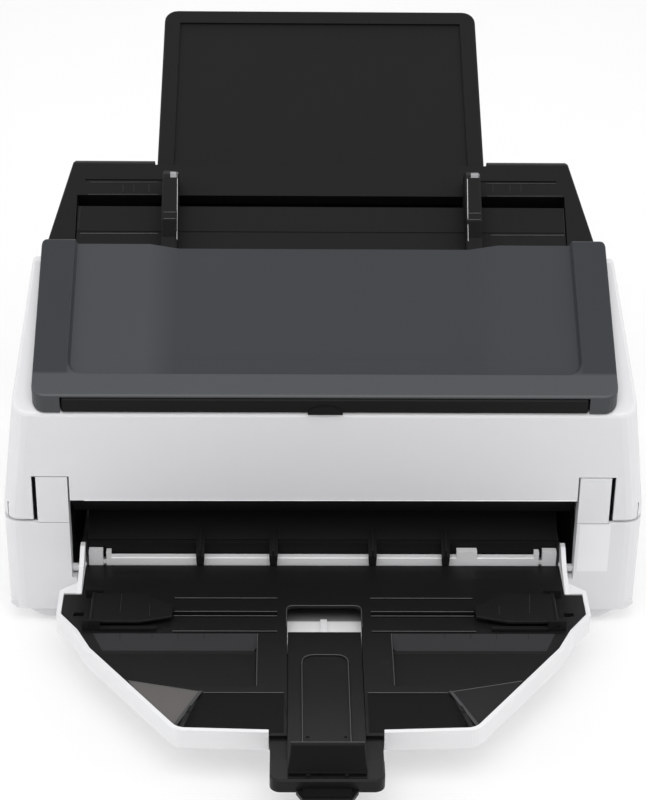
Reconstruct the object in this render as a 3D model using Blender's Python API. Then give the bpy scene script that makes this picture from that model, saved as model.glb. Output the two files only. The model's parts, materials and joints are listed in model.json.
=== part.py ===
"""Sheet-fed document scanner with a hinged feeder cover, a sloping hopper and a folding stacker.

The model is built in metres, +Z up, with the front of the machine facing -Y. Every part is first
placed from the front face of the body (y = 0) and the floor (z = 0), and one empty then moves
the whole machine so that its origin is under the middle of its outline.
"""

import math

import bmesh
import bpy
from mathutils import Matrix, Vector

# Clearances
seat_gap = 0.0003
running_gap = 0.0008
side_gap = 0.0012
overrun = 0.020

# Body
body_width = 0.432
body_depth = 0.300
foot_height = 0.004
pan_height = 0.0076
pan_inset = 0.006
pan_front_inset = 0.0009
pan_side_draft = 0.0100
pan_front_draft = 0.0016
side_chamfer_height = 0.0059
side_chamfer_width = 0.0052
side_wall = 0.003
parting_height = 0.0839
parting_gap = 0.0014
rear_parting_height = 0.100
rear_deck_height = 0.138
rear_deck_drop = 0.012
corner_radius = 0.012
edge_radius = 0.0012

# Front pillars beside the paper exit
pillar_inner_inset = 0.0445
pillar_outer_inset = 0.0235
pillar_top = 0.1183
pillar_depth = 0.012
pillar_ledge_width = 0.0035
pillar_ledge_height = 0.0372
pillar_joint_height = 0.0821
pillar_joint_width = 0.0006
pillar_joint_depth = 0.0008
front_cover_wall = 0.003
front_cover_lip = 0.014

# Paper path
path_angle = math.radians(33)
exit_depth = 0.015
exit_height = 0.053
path_gap = 0.0003
guide_sink = 0.001
guide_thickness = 0.0025
guide_half_width_inset = 0.0455
lower_guide_front = 0.006
lower_guide_rear = 0.158

# Feeder cover
cover_angle = math.radians(28)
cover_depth = 0.112
cover_half_width_inset = 0.0236
cover_thickness = 0.0134
cover_front = 0.0005
cover_front_corner = 0.0085
cover_rear_corner = 0.0036
shell_front_height = 0.1676
shell_wall = 0.003
shell_draft = 0.128
shell_draft_start = 0.094
shell_mouth_height = 0.1001
shell_rear_high = 0.150
shell_rear_low = 0.212
shell_rear_high_height = 0.205
shell_rear_low_height = 0.150
notch_outer_inset = 0.0206
notch_top = 0.1190
recess_front = 0.0150
recess_half_width_inset = 0.0463
recess_depth = 0.0038
recess_corner = 0.010
recess_draft = 0.0016
scoop_half_width_inset = 0.1170
scoop_ramp = 0.0200
scoop_depth = 0.0030
scoop_front = 0.0270
release_half_width_inset = 0.0430
release_height = 0.0112
release_depth = 0.009
release_lift = 0.0003
release_lip_half_width = 0.0115
release_lip_reach = 0.0012
release_lip_height = 0.0016

# Hinge of the feeder cover
hinge_depth = 0.205
hinge_height = 0.125
hinge_pin_radius = 0.004
hinge_pin_inner_inset = 0.0445
hinge_pin_outer_inset = 0.0255
hinge_boss_radius = 0.011
hinge_shell_radius = 0.028
flange_inner_inset = 0.0320
flange_outer_inset = 0.0280

# Side frames
cheek_inner_inset = 0.0435
cheek_outer_inset = 0.0405
cheek_front = 0.016
cheek_rear_inset = 0.015

# Upper frame and its mouth
upper_plate_height = 0.0018
upper_plate_thickness = 0.0022
upper_plate_front = 0.031
upper_plate_rear = 0.150
upper_mouth_front = 0.016
upper_mouth_height = 0.0430
upper_mouth_bend = 0.022
upper_mouth_bend_height = 0.012

# Rollers along the path, measured back from the paper exit
shaft_radius = 0.003
tyre_bore_gap = 0.0003
eject_place = 0.040
feed_place = 0.114
separator_place = 0.141
pick_place = 0.171
lower_tyre_radius = 0.009
pinch_tyre_radius = 0.0075
pinch_shaft_half_length_inset = 0.0470
pinch_bearing_inner_inset = 0.0520
pinch_bearing_outer_inset = 0.0460
pinch_bearing_half_depth = 0.0060
separator_radius = 0.011
brake_radius = 0.010
pick_radius = 0.011
pick_height = 0.0225
drive_tyre_inner = 0.040
drive_tyre_length = 0.030
pick_tyre_inner = 0.024
pick_tyre_length = 0.020
separator_half_length = 0.021
roller_window_margin = 0.0015
shaft_half_length_inset = 0.0395

# Scan units
lower_scan_place = 0.064
upper_scan_place = 0.072
scan_glass_length = 0.024
scan_glass_thickness = 0.002
scan_glass_half_width_inset = 0.0600
scan_unit_depth = 0.022
scan_unit_margin = 0.003

# Drive
pulley_radius = 0.012
pulley_width = 0.006
pulley_inner_inset = 0.0395
motor_pulley_radius = 0.008
motor_depth = 0.126
motor_height = 0.040
motor_radius = 0.019
motor_length = 0.036
motor_shaft_radius = 0.0025
belt_thickness = 0.0014
belt_gap = 0.0003

# Electronics behind the rear wall
board_left = 0.010
board_right = 0.110
board_rear_inset = 0.0220
board_thickness = 0.0016
board_height = 0.075
supply_width = 0.110
supply_outer_inset = 0.0760
supply_length = 0.078
supply_rear_inset = 0.054
supply_height = 0.034
inlet_place_inset = 0.1110
inlet_height = 0.045
inlet_width = 0.030
inlet_tall = 0.024
inlet_deep = 0.022
inlet_rim = 0.003
inlet_recess = 0.016
inlet_pin_length = 0.0100
inlet_pin_width = 0.0022
inlet_pin_tall = 0.0050
inlet_pin_pitch = 0.0070
usb_place = 0.060
usb_width = 0.0130
usb_tall = 0.0120
usb_rim = 0.0020
usb_recess = 0.0120
usb_tongue_length = 0.0065
usb_tongue_width = 0.0050
usb_tongue_tall = 0.0030
switch_place_inset = 0.0760
switch_width = 0.0130
switch_tall = 0.0210
switch_deep = 0.0080
switch_pivot_inset = 0.0035
switch_dip = 0.0012
switch_throw = math.radians(8)
switch_opening_gap = 0.0016

# Hopper, measured up the paper path and square to it
hopper_front = 0.225
hopper_shoulder = 0.247
hopper_top = 0.317
hopper_half_width_inset = 0.0150
hopper_top_half_width_inset = 0.0310
hopper_top_thickness = 0.022
hopper_front_thickness = 0.034
hopper_throat = 0.311
hopper_well_half_width_inset = 0.0345
hopper_well_rear = 0.284
hopper_floor = 0.030
hopper_edge = 0.004
hopper_groove_place = 0.2965
hopper_groove_width = 0.0014
hopper_groove_depth = 0.0010
hopper_groove_inner = 0.118
hopper_groove_outer_inset = 0.0400
table_front = 0.165
table_rear = 0.2752
table_sink = 0.0015
table_thickness = 0.003
table_half_width_inset = 0.0352
table_front_half_width_inset = 0.0480
table_step_place = 0.222
table_line_place = 0.2523
extension_half_width = 0.1240
extension_tip_half_width = 0.1215
extension_thickness = 0.0050
extension_sink = 0.0140
extension_tip = 0.463
extension_engagement = 0.025
extension_corner = 0.010
extension_rim = 0.012
extension_rim_rise = 0.0018
guide_inner_face = 0.1057
guide_body_width = 0.0115
guide_body_height = 0.022
guide_low_height = 0.015
guide_front = 0.192
guide_step_place = 0.249
guide_rear = 0.296
guide_nose = 0.010
guide_foot_rise = 0.0004
rack_layer_top = 0.0052
rack_layer_thickness = 0.0028
rack_tooth = 0.0020
rack_width = 0.0050
rack_bridge_gap = 0.0004
post_front = 0.2764
post_rear = 0.2820
pinion_place = 0.2620
pinion_radius = 0.0080
pinion_pitch_radius = 0.0070
pinion_teeth = 16

# Stacker tray, measured from its hinge pins
stacker_pin_depth = 0.008
stacker_pin_height = 0.041
stacker_pin_radius = 0.0028
stacker_pin_outer_inset = 0.0422
tray_depth = 0.015
tray_wall = 0.0030
tray_floor = 0.0020
tray_rim_rise = 0.0008
tray_rear = 0.0020
tray_wing_rear = 0.0330
tray_rear_half_width_inset = 0.0535
tray_wing_half_width_inset = 0.0415
tray_wing_front = 0.0560
tray_knee_half_width_inset = 0.0540
tray_knee_place = 0.0740
tray_bend_half_width_inset = 0.0635
tray_bend_place = 0.0940
tray_front_half_width_inset = 0.1235
tray_front_place = 0.1760
tray_bow = 0.0024
tray_front_corner = 0.010
tray_undercut = 0.0030
arm_outer_inset = 0.0496
arm_height = 0.0190
arm_lean = 0.0010
gusset_rear = 0.0175
gusset_corner = 0.0195
rear_wall_drop = 0.0050
arm_rear = 0.0050
arm_front = 0.0120
arm_foot_front = 0.0330
bed_gap = 0.0004
bed_thickness = 0.0022
window_rear = 0.0455
window_front = 0.0728
window_corner = 0.0050
ridge_half_width = 0.0022
ridge_height = 0.0016
channel_half_width = 0.0245
rail_half_inner = 0.0312
rail_half_outer_inset = 0.1160
rail_place = 0.0380
rail_groove_place = 0.0560
rail_groove_width = 0.0042
rail_front_place = 0.0757
rail_width = 0.0008
rail_height = 0.0008
panel_inner = 0.0440
panel_rear = 0.0775
panel_middle = 0.0945
panel_front = 0.1335
panel_depth = 0.0038
panel_wall_draft = 0.0010
facet_rear = 0.1405
facet_outer_rear = 0.1228
facet_front = 0.1800
facet_inner = 0.0265
facet_inner_front = 0.0225
facet_middle_inset = 0.1370
facet_middle_front_inset = 0.1260
facet_outer_inset = 0.0660
facet_depth = 0.0048
facet_start_drop = 0.0003
facet_ledge = 0.0030

# Stacker extension, tongue and stopper
extension_plate_rear = 0.0740
extension_plate_thickness = 0.0018
extension_plate_sink = 0.0012
carrier_rear = 0.0900
carrier_half_width = 0.0350
carrier_front = 0.2235
carrier_corner = 0.0060
carrier_travel_in = 0.023
tongue_half_width = 0.0150
tongue_rear = 0.0995
tongue_front = 0.2140
tongue_corner = 0.0085
tongue_height = 0.0006
tongue_rim = 0.0008
tongue_groove = 0.0008
tongue_groove_depth = 0.0010
pull_half_width = 0.0190
pull_tip_half_width = 0.0150
pull_front = 0.2320
pull_height = 0.0024
pull_wall = 0.0017
pull_lip_height = 0.0028
pull_rear = 0.1500
stopper_place = 0.2190
stopper_half_width = 0.0240
stopper_height = 0.0212
stopper_top_half_width = 0.0222
front_wall_depth = 0.0190
front_wall_sink = 0.0022
stopper_thickness = 0.0030
stopper_barrel_radius = 0.0019

# Stacker side guides
paddle_hinge_inset = 0.0625
paddle_tip_inset = 0.1155
paddle_rear = 0.0390
paddle_front = 0.0715
paddle_thickness = 0.0022
paddle_pin_radius = 0.0016
paddle_height = 0.0045
slider_half_width = 0.0060
slider_height = 0.0010
slider_foot_length = 0.0430
slider_foot_width = 0.0034
slider_bracket_width = 0.0026

# Front edge of the lower guide
rib_place_shares = (-0.52, -0.21, 0.21, 0.52)
rib_half_width = 0.0006
rib_base_half_width = 0.0018
rib_shoulder_half_width = 0.0029
rib_shoulder_height = 0.0006
rib_height = 0.0150
lip_bottom = 0.0420
lip_rise = 0.0080
rib_nose_depth = 0.0088
rib_nose_top = 0.0540
rib_top_depth = 0.0240
rib_top_height = 0.0630
rib_foot_height = 0.0418
exit_bar_half_width_inset = 0.0698
exit_bar_front = 0.0128
exit_bar_rear = 0.0180
exit_bar_bottom = 0.0385
exit_bar_top = 0.0455
exit_post_width = 0.0026
exit_post_height = 0.0040
exit_tab_inner = 0.092
exit_tab_outer = 0.106
exit_tab_height = 0.0050
exit_bracket_inner_inset = 0.0648
exit_bracket_outer_inset = 0.0552
exit_bracket_height = 0.0050
exit_bracket_foot = 0.0020

# Feet
foot_radius = 0.0100
foot_side_inset = 0.030
foot_front_inset = 0.032
foot_rear_inset = 0.030

# Front cover under the stacker
shelf_height = 0.0240
shelf_depth = 0.024
riser_top = 0.0414
riser_half_width_inset = 0.0560

# More of the frames and guides
cheek_sink = 0.006
cheek_top_end = 0.212
lower_guide_half_width_inset = 0.0540

# Vents in the rear wall
vent_count = 8
vent_start = -0.050
vent_pitch = 0.012
vent_width = 0.004
vent_length = 0.040
vent_bottom = 0.070

# Rocker switch
rocker_back_share = 0.45

# Rack and pinion shares of a tooth's pitch
tooth_top_share = 0.14
tooth_land_share = 0.22
rack_clearance = 0.0005
rack_length = 0.170

# Where the hopper's foot meets the deck, as a share of the deck's drop
hopper_foot_share = 1.05

# Feeder cover details
shell_edge = 0.0030
shell_floor_wall = 0.0034
shell_flange = 0.0040
shell_pod_rear = 0.160
hopper_clearance = 0.0018
cover_edge = 0.0016
flange_height = 0.034
flange_root_share = 0.9
pick_shaft_half_length = 0.054
pick_arm_inner = 0.0475
pick_arm_reach = 0.0060

# Stacker details
tray_undercut_height = 0.0020
arm_round = 0.0030
arm_share = 0.42
bed_front_thickness = 0.0064
facet_reach_share = 0.78
slider_slot_outer_inset = 0.0495
tongue_slot_width = 0.0022
tongue_slot_rear = 0.1830
pull_travel_room = 0.0010
slider_gap = 0.0003
slider_foot_place = 0.0718
paddle_square_share = 0.66
paddle_slope_share = 0.84
paddle_rear_tip = 0.0475
paddle_tip_rear = 0.0530
paddle_tip_front = 0.0655
paddle_swell_share = 0.60

# Half widths, worked in from the sides of the body
half_width = body_width / 2
pillar_inner = half_width - pillar_inner_inset
pillar_outer = half_width - pillar_outer_inset
guide_half_width = half_width - guide_half_width_inset
cover_half_width = half_width - cover_half_width_inset
notch_outer = half_width - notch_outer_inset
recess_half_width = half_width - recess_half_width_inset
scoop_half_width = half_width - scoop_half_width_inset
release_half_width = half_width - release_half_width_inset
hinge_pin_inner = half_width - hinge_pin_inner_inset
hinge_pin_outer = half_width - hinge_pin_outer_inset
flange_inner = half_width - flange_inner_inset
flange_outer = half_width - flange_outer_inset
cheek_inner = half_width - cheek_inner_inset
cheek_outer = half_width - cheek_outer_inset
pinch_shaft_half_length = half_width - pinch_shaft_half_length_inset
pinch_bearing_inner = half_width - pinch_bearing_inner_inset
pinch_bearing_outer = half_width - pinch_bearing_outer_inset
shaft_half_length = half_width - shaft_half_length_inset
scan_glass_half_width = half_width - scan_glass_half_width_inset
pulley_inner = half_width - pulley_inner_inset
hopper_half_width = half_width - hopper_half_width_inset
hopper_top_half_width = half_width - hopper_top_half_width_inset
hopper_well_half_width = half_width - hopper_well_half_width_inset
hopper_groove_outer = half_width - hopper_groove_outer_inset
table_half_width = half_width - table_half_width_inset
table_front_half_width = half_width - table_front_half_width_inset
stacker_pin_outer = half_width - stacker_pin_outer_inset
tray_rear_half_width = half_width - tray_rear_half_width_inset
tray_wing_half_width = half_width - tray_wing_half_width_inset
tray_knee_half_width = half_width - tray_knee_half_width_inset
tray_bend_half_width = half_width - tray_bend_half_width_inset
tray_front_half_width = half_width - tray_front_half_width_inset
arm_outer = half_width - arm_outer_inset
rail_half_outer = half_width - rail_half_outer_inset
facet_middle = half_width - facet_middle_inset
facet_middle_front = half_width - facet_middle_front_inset
facet_outer = half_width - facet_outer_inset
paddle_hinge = half_width - paddle_hinge_inset
paddle_tip = half_width - paddle_tip_inset
exit_bar_half_width = half_width - exit_bar_half_width_inset
exit_bracket_inner = half_width - exit_bracket_inner_inset
exit_bracket_outer = half_width - exit_bracket_outer_inset
riser_half_width = half_width - riser_half_width_inset
lower_guide_half_width = half_width - lower_guide_half_width_inset
slider_slot_outer = half_width - slider_slot_outer_inset

supply_outer = half_width - supply_outer_inset
supply_inner = supply_outer - supply_width
inlet_place = inlet_place_inset - half_width
switch_place = switch_place_inset - half_width

# Depths, worked in from the back of the body and the top of the hopper
board_depth = body_depth - board_rear_inset
cheek_rear = body_depth - cheek_rear_inset
supply_rear = body_depth - supply_rear_inset
supply_front = supply_rear - supply_length
extension_tail = hopper_top - extension_engagement

# Facets of round shapes
flat_limit = 0.000002
weld_distance = 0.000002
round_sides = 24
small_round_sides = 16
arc_steps = 5

# Places worked out from the sizes above
floor_top = foot_height + pan_height
cover_slope = math.tan(cover_angle)


def path_point(along, above):
    """Machine depth and height of a point up the paper path and square to it."""
    depth = exit_depth + along * math.cos(path_angle) - above * math.sin(path_angle)
    height = exit_height + along * math.sin(path_angle) + above * math.cos(path_angle)
    return depth, height


def shell_half_width(height):
    """Half width of the feeder's drafted sides at a height."""
    return half_width - shell_draft * max(0, height - shell_draft_start)


def path_frame():
    return Matrix.Translation((0, exit_depth, exit_height)) @ Matrix.Rotation(path_angle, 4, "X")


def tray_frame():
    """Stacker frame: +Y still points back, and heights start at the hinge pins."""
    return Matrix.Translation((0, stacker_pin_depth, stacker_pin_height))


def bent(face):
    """Whether a face's corners lie off its plane."""
    middle = face.calc_center_median()
    return max(abs((vertex.co - middle).dot(face.normal)) for vertex in face.verts) > flat_limit


def solid(vertices, faces):
    mesh = bpy.data.meshes.new("shape")
    mesh.from_pydata([tuple(v) for v in vertices], [], faces)
    shape = bpy.data.objects.new("shape", mesh)
    bpy.context.scene.collection.objects.link(shape)
    tidy = bmesh.new()
    tidy.from_mesh(mesh)
    tidy.normal_update()
    bmesh.ops.triangulate(tidy, faces=[face for face in tidy.faces if bent(face)])
    bmesh.ops.recalc_face_normals(tidy, faces=tidy.faces)
    tidy.to_mesh(mesh)
    tidy.free()
    return shape


def stacked(rings):
    """Closed solid through rings of as many points each."""
    count = len(rings[0])
    last = count * (len(rings) - 1)
    faces = [list(range(count)), [last + i for i in range(count)]]
    for level in range(len(rings) - 1):
        base = level * count
        for i in range(count):
            after = (i + 1) % count
            faces.append([base + i, base + after, base + count + after, base + count + i])
    return solid([point for ring in rings for point in ring], faces)


def loft(low_ring, high_ring):
    """Closed solid between two rings of as many points."""
    return stacked([low_ring, high_ring])


def side_prism(outline, left, right):
    """Outline in depth and height, run from left to right."""
    low = [(left, y, z) for y, z in outline]
    high = [(right, y, z) for y, z in outline]
    return loft(low, high)


def plan_prism(outline, bottom, top):
    """Outline seen from above, run from bottom to top."""
    low = [(x, y, bottom) for x, y in outline]
    high = [(x, y, top) for x, y in outline]
    return loft(low, high)


def front_prism(outline, front, rear):
    """Outline seen from the front, run from front to rear."""
    low = [(x, front, z) for x, z in outline]
    high = [(x, rear, z) for x, z in outline]
    return loft(low, high)


def block(left, right, front, rear, bottom, top):
    outline = [(left, front), (right, front), (right, rear), (left, rear)]
    return plan_prism(outline, bottom, top)


def circle(radius, sides, centre=(0, 0), start=0.0):
    points = []
    for i in range(sides):
        angle = start + 2 * math.pi * i / sides
        points.append((centre[0] + radius * math.cos(angle), centre[1] + radius * math.sin(angle)))
    return points


def bar(left, right, depth, height, radius, sides=round_sides):
    """Round bar along X."""
    return side_prism(circle(radius, sides, (depth, height)), left, right)


def pillar_round(x, y, bottom, top, radius, sides=round_sides):
    """Round bar along Z."""
    return plan_prism(circle(radius, sides, (x, y)), bottom, top)


def rounded(outline, radii, steps=arc_steps):
    """Outline with an arc at each corner whose number is in radii."""
    points = []
    count = len(outline)
    for i, corner in enumerate(outline):
        radius = radii.get(i, 0)
        if radius == 0:
            points.append(corner)
            continue
        here = Vector(corner)
        before = (Vector(outline[i - 1]) - here).normalized()
        after = (Vector(outline[(i + 1) % count]) - here).normalized()
        half = before.angle(after) / 2
        reach = radius / math.tan(half)
        middle = here + (before + after).normalized() * (radius / math.sin(half))
        first = here + before * reach - middle
        last = here + after * reach - middle
        turn = first.angle_signed(last)
        for step in range(steps + 1):
            angle = -turn * step / steps
            cosine, sine = math.cos(angle), math.sin(angle)
            spoke = Vector((first.x * cosine - first.y * sine, first.x * sine + first.y * cosine))
            points.append(tuple(middle + spoke))
    return points


def grown(outline, distance):
    """Outline moved outwards all round by a distance."""
    area = 0
    count = len(outline)
    for i in range(count):
        x0, y0 = outline[i]
        x1, y1 = outline[(i + 1) % count]
        area += x0 * y1 - x1 * y0
    sense = 1 if area > 0 else -1
    points = []
    for i, corner in enumerate(outline):
        here = Vector(corner)
        entering = (here - Vector(outline[i - 1])).normalized()
        leaving = (Vector(outline[(i + 1) % count]) - here).normalized()
        out_a = Vector((entering.y, -entering.x)) * sense
        out_b = Vector((leaving.y, -leaving.x)) * sense
        mitre = (out_a + out_b).normalized()
        reach = distance / mitre.dot(out_a)
        points.append(tuple(here + mitre * reach))
    return points


def mirrored(half_outline):
    """Closed outline from its right half, whose points run along +X."""
    return list(half_outline) + [(-x, y) for x, y in reversed(half_outline)]


def change_in_place(shape):
    """Make the shape's modifiers part of its mesh."""
    bpy.context.view_layer.update()
    graph = bpy.context.evaluated_depsgraph_get()
    mesh = bpy.data.meshes.new_from_object(shape.evaluated_get(graph))
    shape.modifiers.clear()
    shape.data = mesh
    return shape


def change(target, tool, operation):
    boolean = target.modifiers.new("boolean", "BOOLEAN")
    boolean.operation = operation
    boolean.object = tool
    change_in_place(target)
    bpy.data.objects.remove(tool)
    weld = bmesh.new()
    weld.from_mesh(target.data)
    bmesh.ops.remove_doubles(weld, verts=weld.verts, dist=weld_distance)
    weld.to_mesh(target.data)
    weld.free()


def cut(target, *tools):
    for tool in tools:
        change(target, tool, "DIFFERENCE")
    return target


def join(target, *tools):
    for tool in tools:
        change(target, tool, "UNION")
    return target


def keep(target, tool):
    """What lies in both shapes."""
    change(target, tool, "INTERSECT")
    return target


def soften(shape, width, segments=1, angle=math.radians(35)):
    bevel = shape.modifiers.new("soft edges", "BEVEL")
    bevel.width = width
    bevel.segments = segments
    bevel.limit_method = "ANGLE"
    bevel.angle_limit = angle
    bevel.use_clamp_overlap = True
    return shape


def flipped(shape):
    """The same shape mirrored in X."""
    for vertex in shape.data.vertices:
        vertex.co.x = -vertex.co.x
    shape.data.flip_normals()
    return shape


# Materials
materials = {}


def material(name, colour, roughness, metallic=0.0):
    made = bpy.data.materials.new(name)
    made.use_nodes = True
    shader = made.node_tree.nodes["Principled BSDF"]
    shader.inputs["Base Color"].default_value = (*colour, 1)
    shader.inputs["Roughness"].default_value = roughness
    shader.inputs["Metallic"].default_value = metallic
    materials[name] = made


def make_materials():
    material("white_plastic", (0.70, 0.70, 0.72), 0.45)
    material("dark_plastic", (0.060, 0.064, 0.070), 0.38)
    material("black_plastic", (0.012, 0.012, 0.013), 0.42)
    material("grey_plastic", (0.45, 0.45, 0.46), 0.5)
    material("rubber", (0.02, 0.02, 0.02), 0.85)
    material("steel", (0.60, 0.60, 0.60), 0.3, 1.0)
    material("glass", (0.55, 0.62, 0.60), 0.05)
    material("board", (0.02, 0.12, 0.05), 0.5)


# Bodies: each moving group of pieces hangs from an empty on its joint's axis
bodies = {}
body_places = {}


def add_body(name, parent, place):
    empty = bpy.data.objects.new("body_" + name, None)
    bpy.context.scene.collection.objects.link(empty)
    empty.empty_display_size = foot_radius
    if parent is None:
        empty.matrix_basis = place
        body_places[name] = Matrix.Identity(4)
    else:
        empty.parent = bodies[parent]
        empty.matrix_basis = body_places[parent].inverted() @ place
        body_places[name] = place
    bodies[name] = empty


def place(shape, name, body, finish, frame=None):
    """Name a shape made in a frame of the machine, and hang it from its body."""
    shape.name = name
    shape.data.name = name
    shape.data.materials.clear()
    shape.data.materials.append(materials[finish])
    shape.parent = bodies[body]
    machine_place = frame if frame is not None else Matrix.Identity(4)
    shape.matrix_basis = body_places[body].inverted() @ machine_place
    return shape


def shade_round(shape):
    shape.data.shade_smooth()
    shape.data.set_sharp_from_angle(angle=math.radians(30))
    return shape


def parting_line(gap):
    """Edge between body and feeder cover, front to rear, with the arc round the hinge."""
    radius = hinge_shell_radius + gap
    points = [(0, parting_height - gap)]
    start = math.pi + math.asin((hinge_height - rear_parting_height + gap) / radius)
    end = 2 * math.pi + math.radians(10)
    for step in range(round_sides // 2 + 1):
        angle = start + (end - start) * step * 2 / round_sides
        points.append((hinge_depth + radius * math.cos(angle), hinge_height + radius * math.sin(angle)))
    return points


def build_pan():
    rings = []
    for height, side_inset, front_inset in ((foot_height, pan_inset + pan_side_draft,
                                             pan_front_inset + pan_front_draft),
                                            (floor_top - seat_gap, pan_inset, pan_front_inset)):
        right, rear = half_width - side_inset, body_depth - side_inset
        outline = rounded([(-right, front_inset), (right, front_inset), (right, rear), (-right, rear)],
                          {i: corner_radius for i in range(4)})
        rings.append([(x, y, height) for x, y in outline])
    place(stacked(rings), "base_pan", "base", "white_plastic")


def build_feet():
    for side, sign in (("left", -1), ("right", 1)):
        for end, y in (("front", foot_front_inset), ("rear", body_depth - foot_rear_inset)):
            x = sign * (half_width - foot_side_inset)
            foot = pillar_round(x, y, 0, foot_height - seat_gap, foot_radius)
            place(shade_round(foot), "foot_" + end + "_" + side, "base", "rubber")


def side_outline(gap):
    """Side view of a body side, under the parting line and behind the hinge."""
    edge = parting_line(gap)
    deck_start = edge[-1][0] + rear_deck_drop / 2
    outline = [(0, floor_top)] + edge
    outline += [(deck_start, rear_deck_height - rear_deck_drop / 4),
                (deck_start + rear_deck_drop, rear_deck_height)]
    outline += [(body_depth - rear_deck_drop / 2, rear_deck_height),
                (body_depth, rear_deck_height - rear_deck_drop)]
    outline += [(body_depth, floor_top)]
    return outline


def chamfer_cutter(sign):
    """What the sloping lower edge leaves off one side of the body."""
    slope = side_chamfer_width / side_chamfer_height
    outline = [(half_width - side_chamfer_width - overrun * slope, floor_top - overrun),
               (half_width + overrun * slope, floor_top + side_chamfer_height + overrun),
               (half_width + overrun * 2, floor_top - overrun)]
    return front_prism([(sign * x, z) for x, z in outline], -overrun, body_depth + overrun)


def side_cover():
    """Right side cover: wall, front return, pillar beside the paper exit and its ledge."""
    inner_radius = corner_radius - side_wall
    plan = [(pillar_inner, 0), (half_width, 0), (half_width, body_depth),
            (half_width - side_wall, body_depth),
            (half_width - side_wall, side_wall), (pillar_inner, side_wall)]
    cover = plan_prism(rounded(plan, {1: corner_radius, 4: inner_radius}), floor_top,
                       rear_deck_height + overrun)
    keep(cover, side_prism(side_outline(parting_gap), pillar_inner - overrun, half_width + overrun))
    inner = half_width - side_chamfer_width - side_wall
    join(cover, block(inner, half_width - side_wall / 2, side_wall / 2, body_depth - side_wall - seat_gap,
                      floor_top,
                      floor_top + side_chamfer_height))
    cut(cover, chamfer_cutter(1))
    column = block(pillar_inner, pillar_outer, 0, pillar_depth, floor_top, pillar_top)
    join(cover, column)
    cut(cover, block(pillar_inner - overrun, pillar_outer + side_gap / 2, -overrun, pillar_joint_depth,
                     pillar_joint_height, pillar_joint_height + pillar_joint_width))
    ledge = block(pillar_inner - pillar_ledge_width, pillar_inner + side_wall, 0, pillar_depth - side_wall,
                  shelf_height + side_gap, pillar_ledge_height)
    join(cover, ledge)
    cut(cover, bar(pillar_inner - overrun, stacker_pin_outer + seat_gap, stacker_pin_depth,
                   stacker_pin_height,
                   stacker_pin_radius + seat_gap, small_round_sides))
    return cover


def build_side_covers():
    place(side_cover(), "side_cover_right", "base", "white_plastic")
    place(flipped(side_cover()), "side_cover_left", "base", "white_plastic")


def build_rear_cover():
    """Rear wall and deck under the hopper, with openings for the sockets and the switch."""
    half = half_width - side_wall - seat_gap
    deck_front = hinge_depth + hinge_shell_radius + rear_deck_drop
    outline = [(deck_front, rear_deck_height - side_wall), (deck_front, rear_deck_height - seat_gap)]
    outline += [(body_depth - rear_deck_drop / 2, rear_deck_height - seat_gap)]
    outline += [(body_depth, rear_deck_height - rear_deck_drop), (body_depth, floor_top)]
    outline += [(body_depth - side_wall, floor_top),
                (body_depth - side_wall, rear_deck_height - rear_deck_drop)]
    outline += [(body_depth - rear_deck_drop, rear_deck_height - side_wall)]
    cover = side_prism(outline, -half, half)
    for sign in (-1, 1):
        cut(cover, chamfer_cutter(sign))
    for centre, width, height in rear_openings():
        cut(cover, block(centre - width / 2 - seat_gap, centre + width / 2 + seat_gap,
                         body_depth - overrun / 2,
                         body_depth + overrun, inlet_height - height / 2 - seat_gap,
                         inlet_height + height / 2 + seat_gap))
    for i in range(vent_count):
        x = vent_start + i * vent_pitch
        cut(cover, block(x - vent_width / 2, x + vent_width / 2, body_depth - overrun / 2,
                         body_depth + overrun,
                         vent_bottom, vent_bottom + vent_length))
    place(cover, "rear_cover", "base", "white_plastic")


def rear_openings():
    """Middle, width and height of each opening in the rear wall, seen from the front."""
    return [(inlet_place, inlet_width, inlet_tall), (usb_place, usb_width, usb_tall),
            (switch_place, switch_width + 2 * seat_gap, switch_tall + 2 * switch_opening_gap)]


def build_front_cover():
    """Panel under the stacker, with a shelf and a riser behind the tray's rear edge."""
    half = pillar_inner - pillar_ledge_width - seat_gap
    outline = [(0, floor_top), (0, shelf_height), (shelf_depth - front_cover_wall, shelf_height)]
    outline += [(shelf_depth - front_cover_wall, riser_top), (shelf_depth, riser_top)]
    outline += [(shelf_depth, shelf_height - front_cover_wall),
                (front_cover_wall, shelf_height - front_cover_wall)]
    outline += [(front_cover_wall, floor_top + front_cover_wall),
                (front_cover_lip, floor_top + front_cover_wall)]
    outline += [(front_cover_lip, floor_top)]
    cover = side_prism(outline, -half, half)
    relief = block(riser_half_width, half + overrun, shelf_depth - front_cover_wall - overrun / 4,
                   shelf_depth + overrun, shelf_height - front_cover_wall - overrun, riser_top + overrun)
    cut(cover, relief)
    relief = block(-half - overrun, -riser_half_width, shelf_depth - front_cover_wall - overrun / 4,
                   shelf_depth + overrun, shelf_height - front_cover_wall - overrun, riser_top + overrun)
    cut(cover, relief)
    place(cover, "front_cover", "base", "white_plastic")


def lower_shafts():
    """Name, place along the path and centre above it of each shaft in the side frames."""
    return [("eject", eject_place, -lower_tyre_radius), ("feed", feed_place, -lower_tyre_radius),
            ("brake", separator_place, -brake_radius)]


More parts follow.
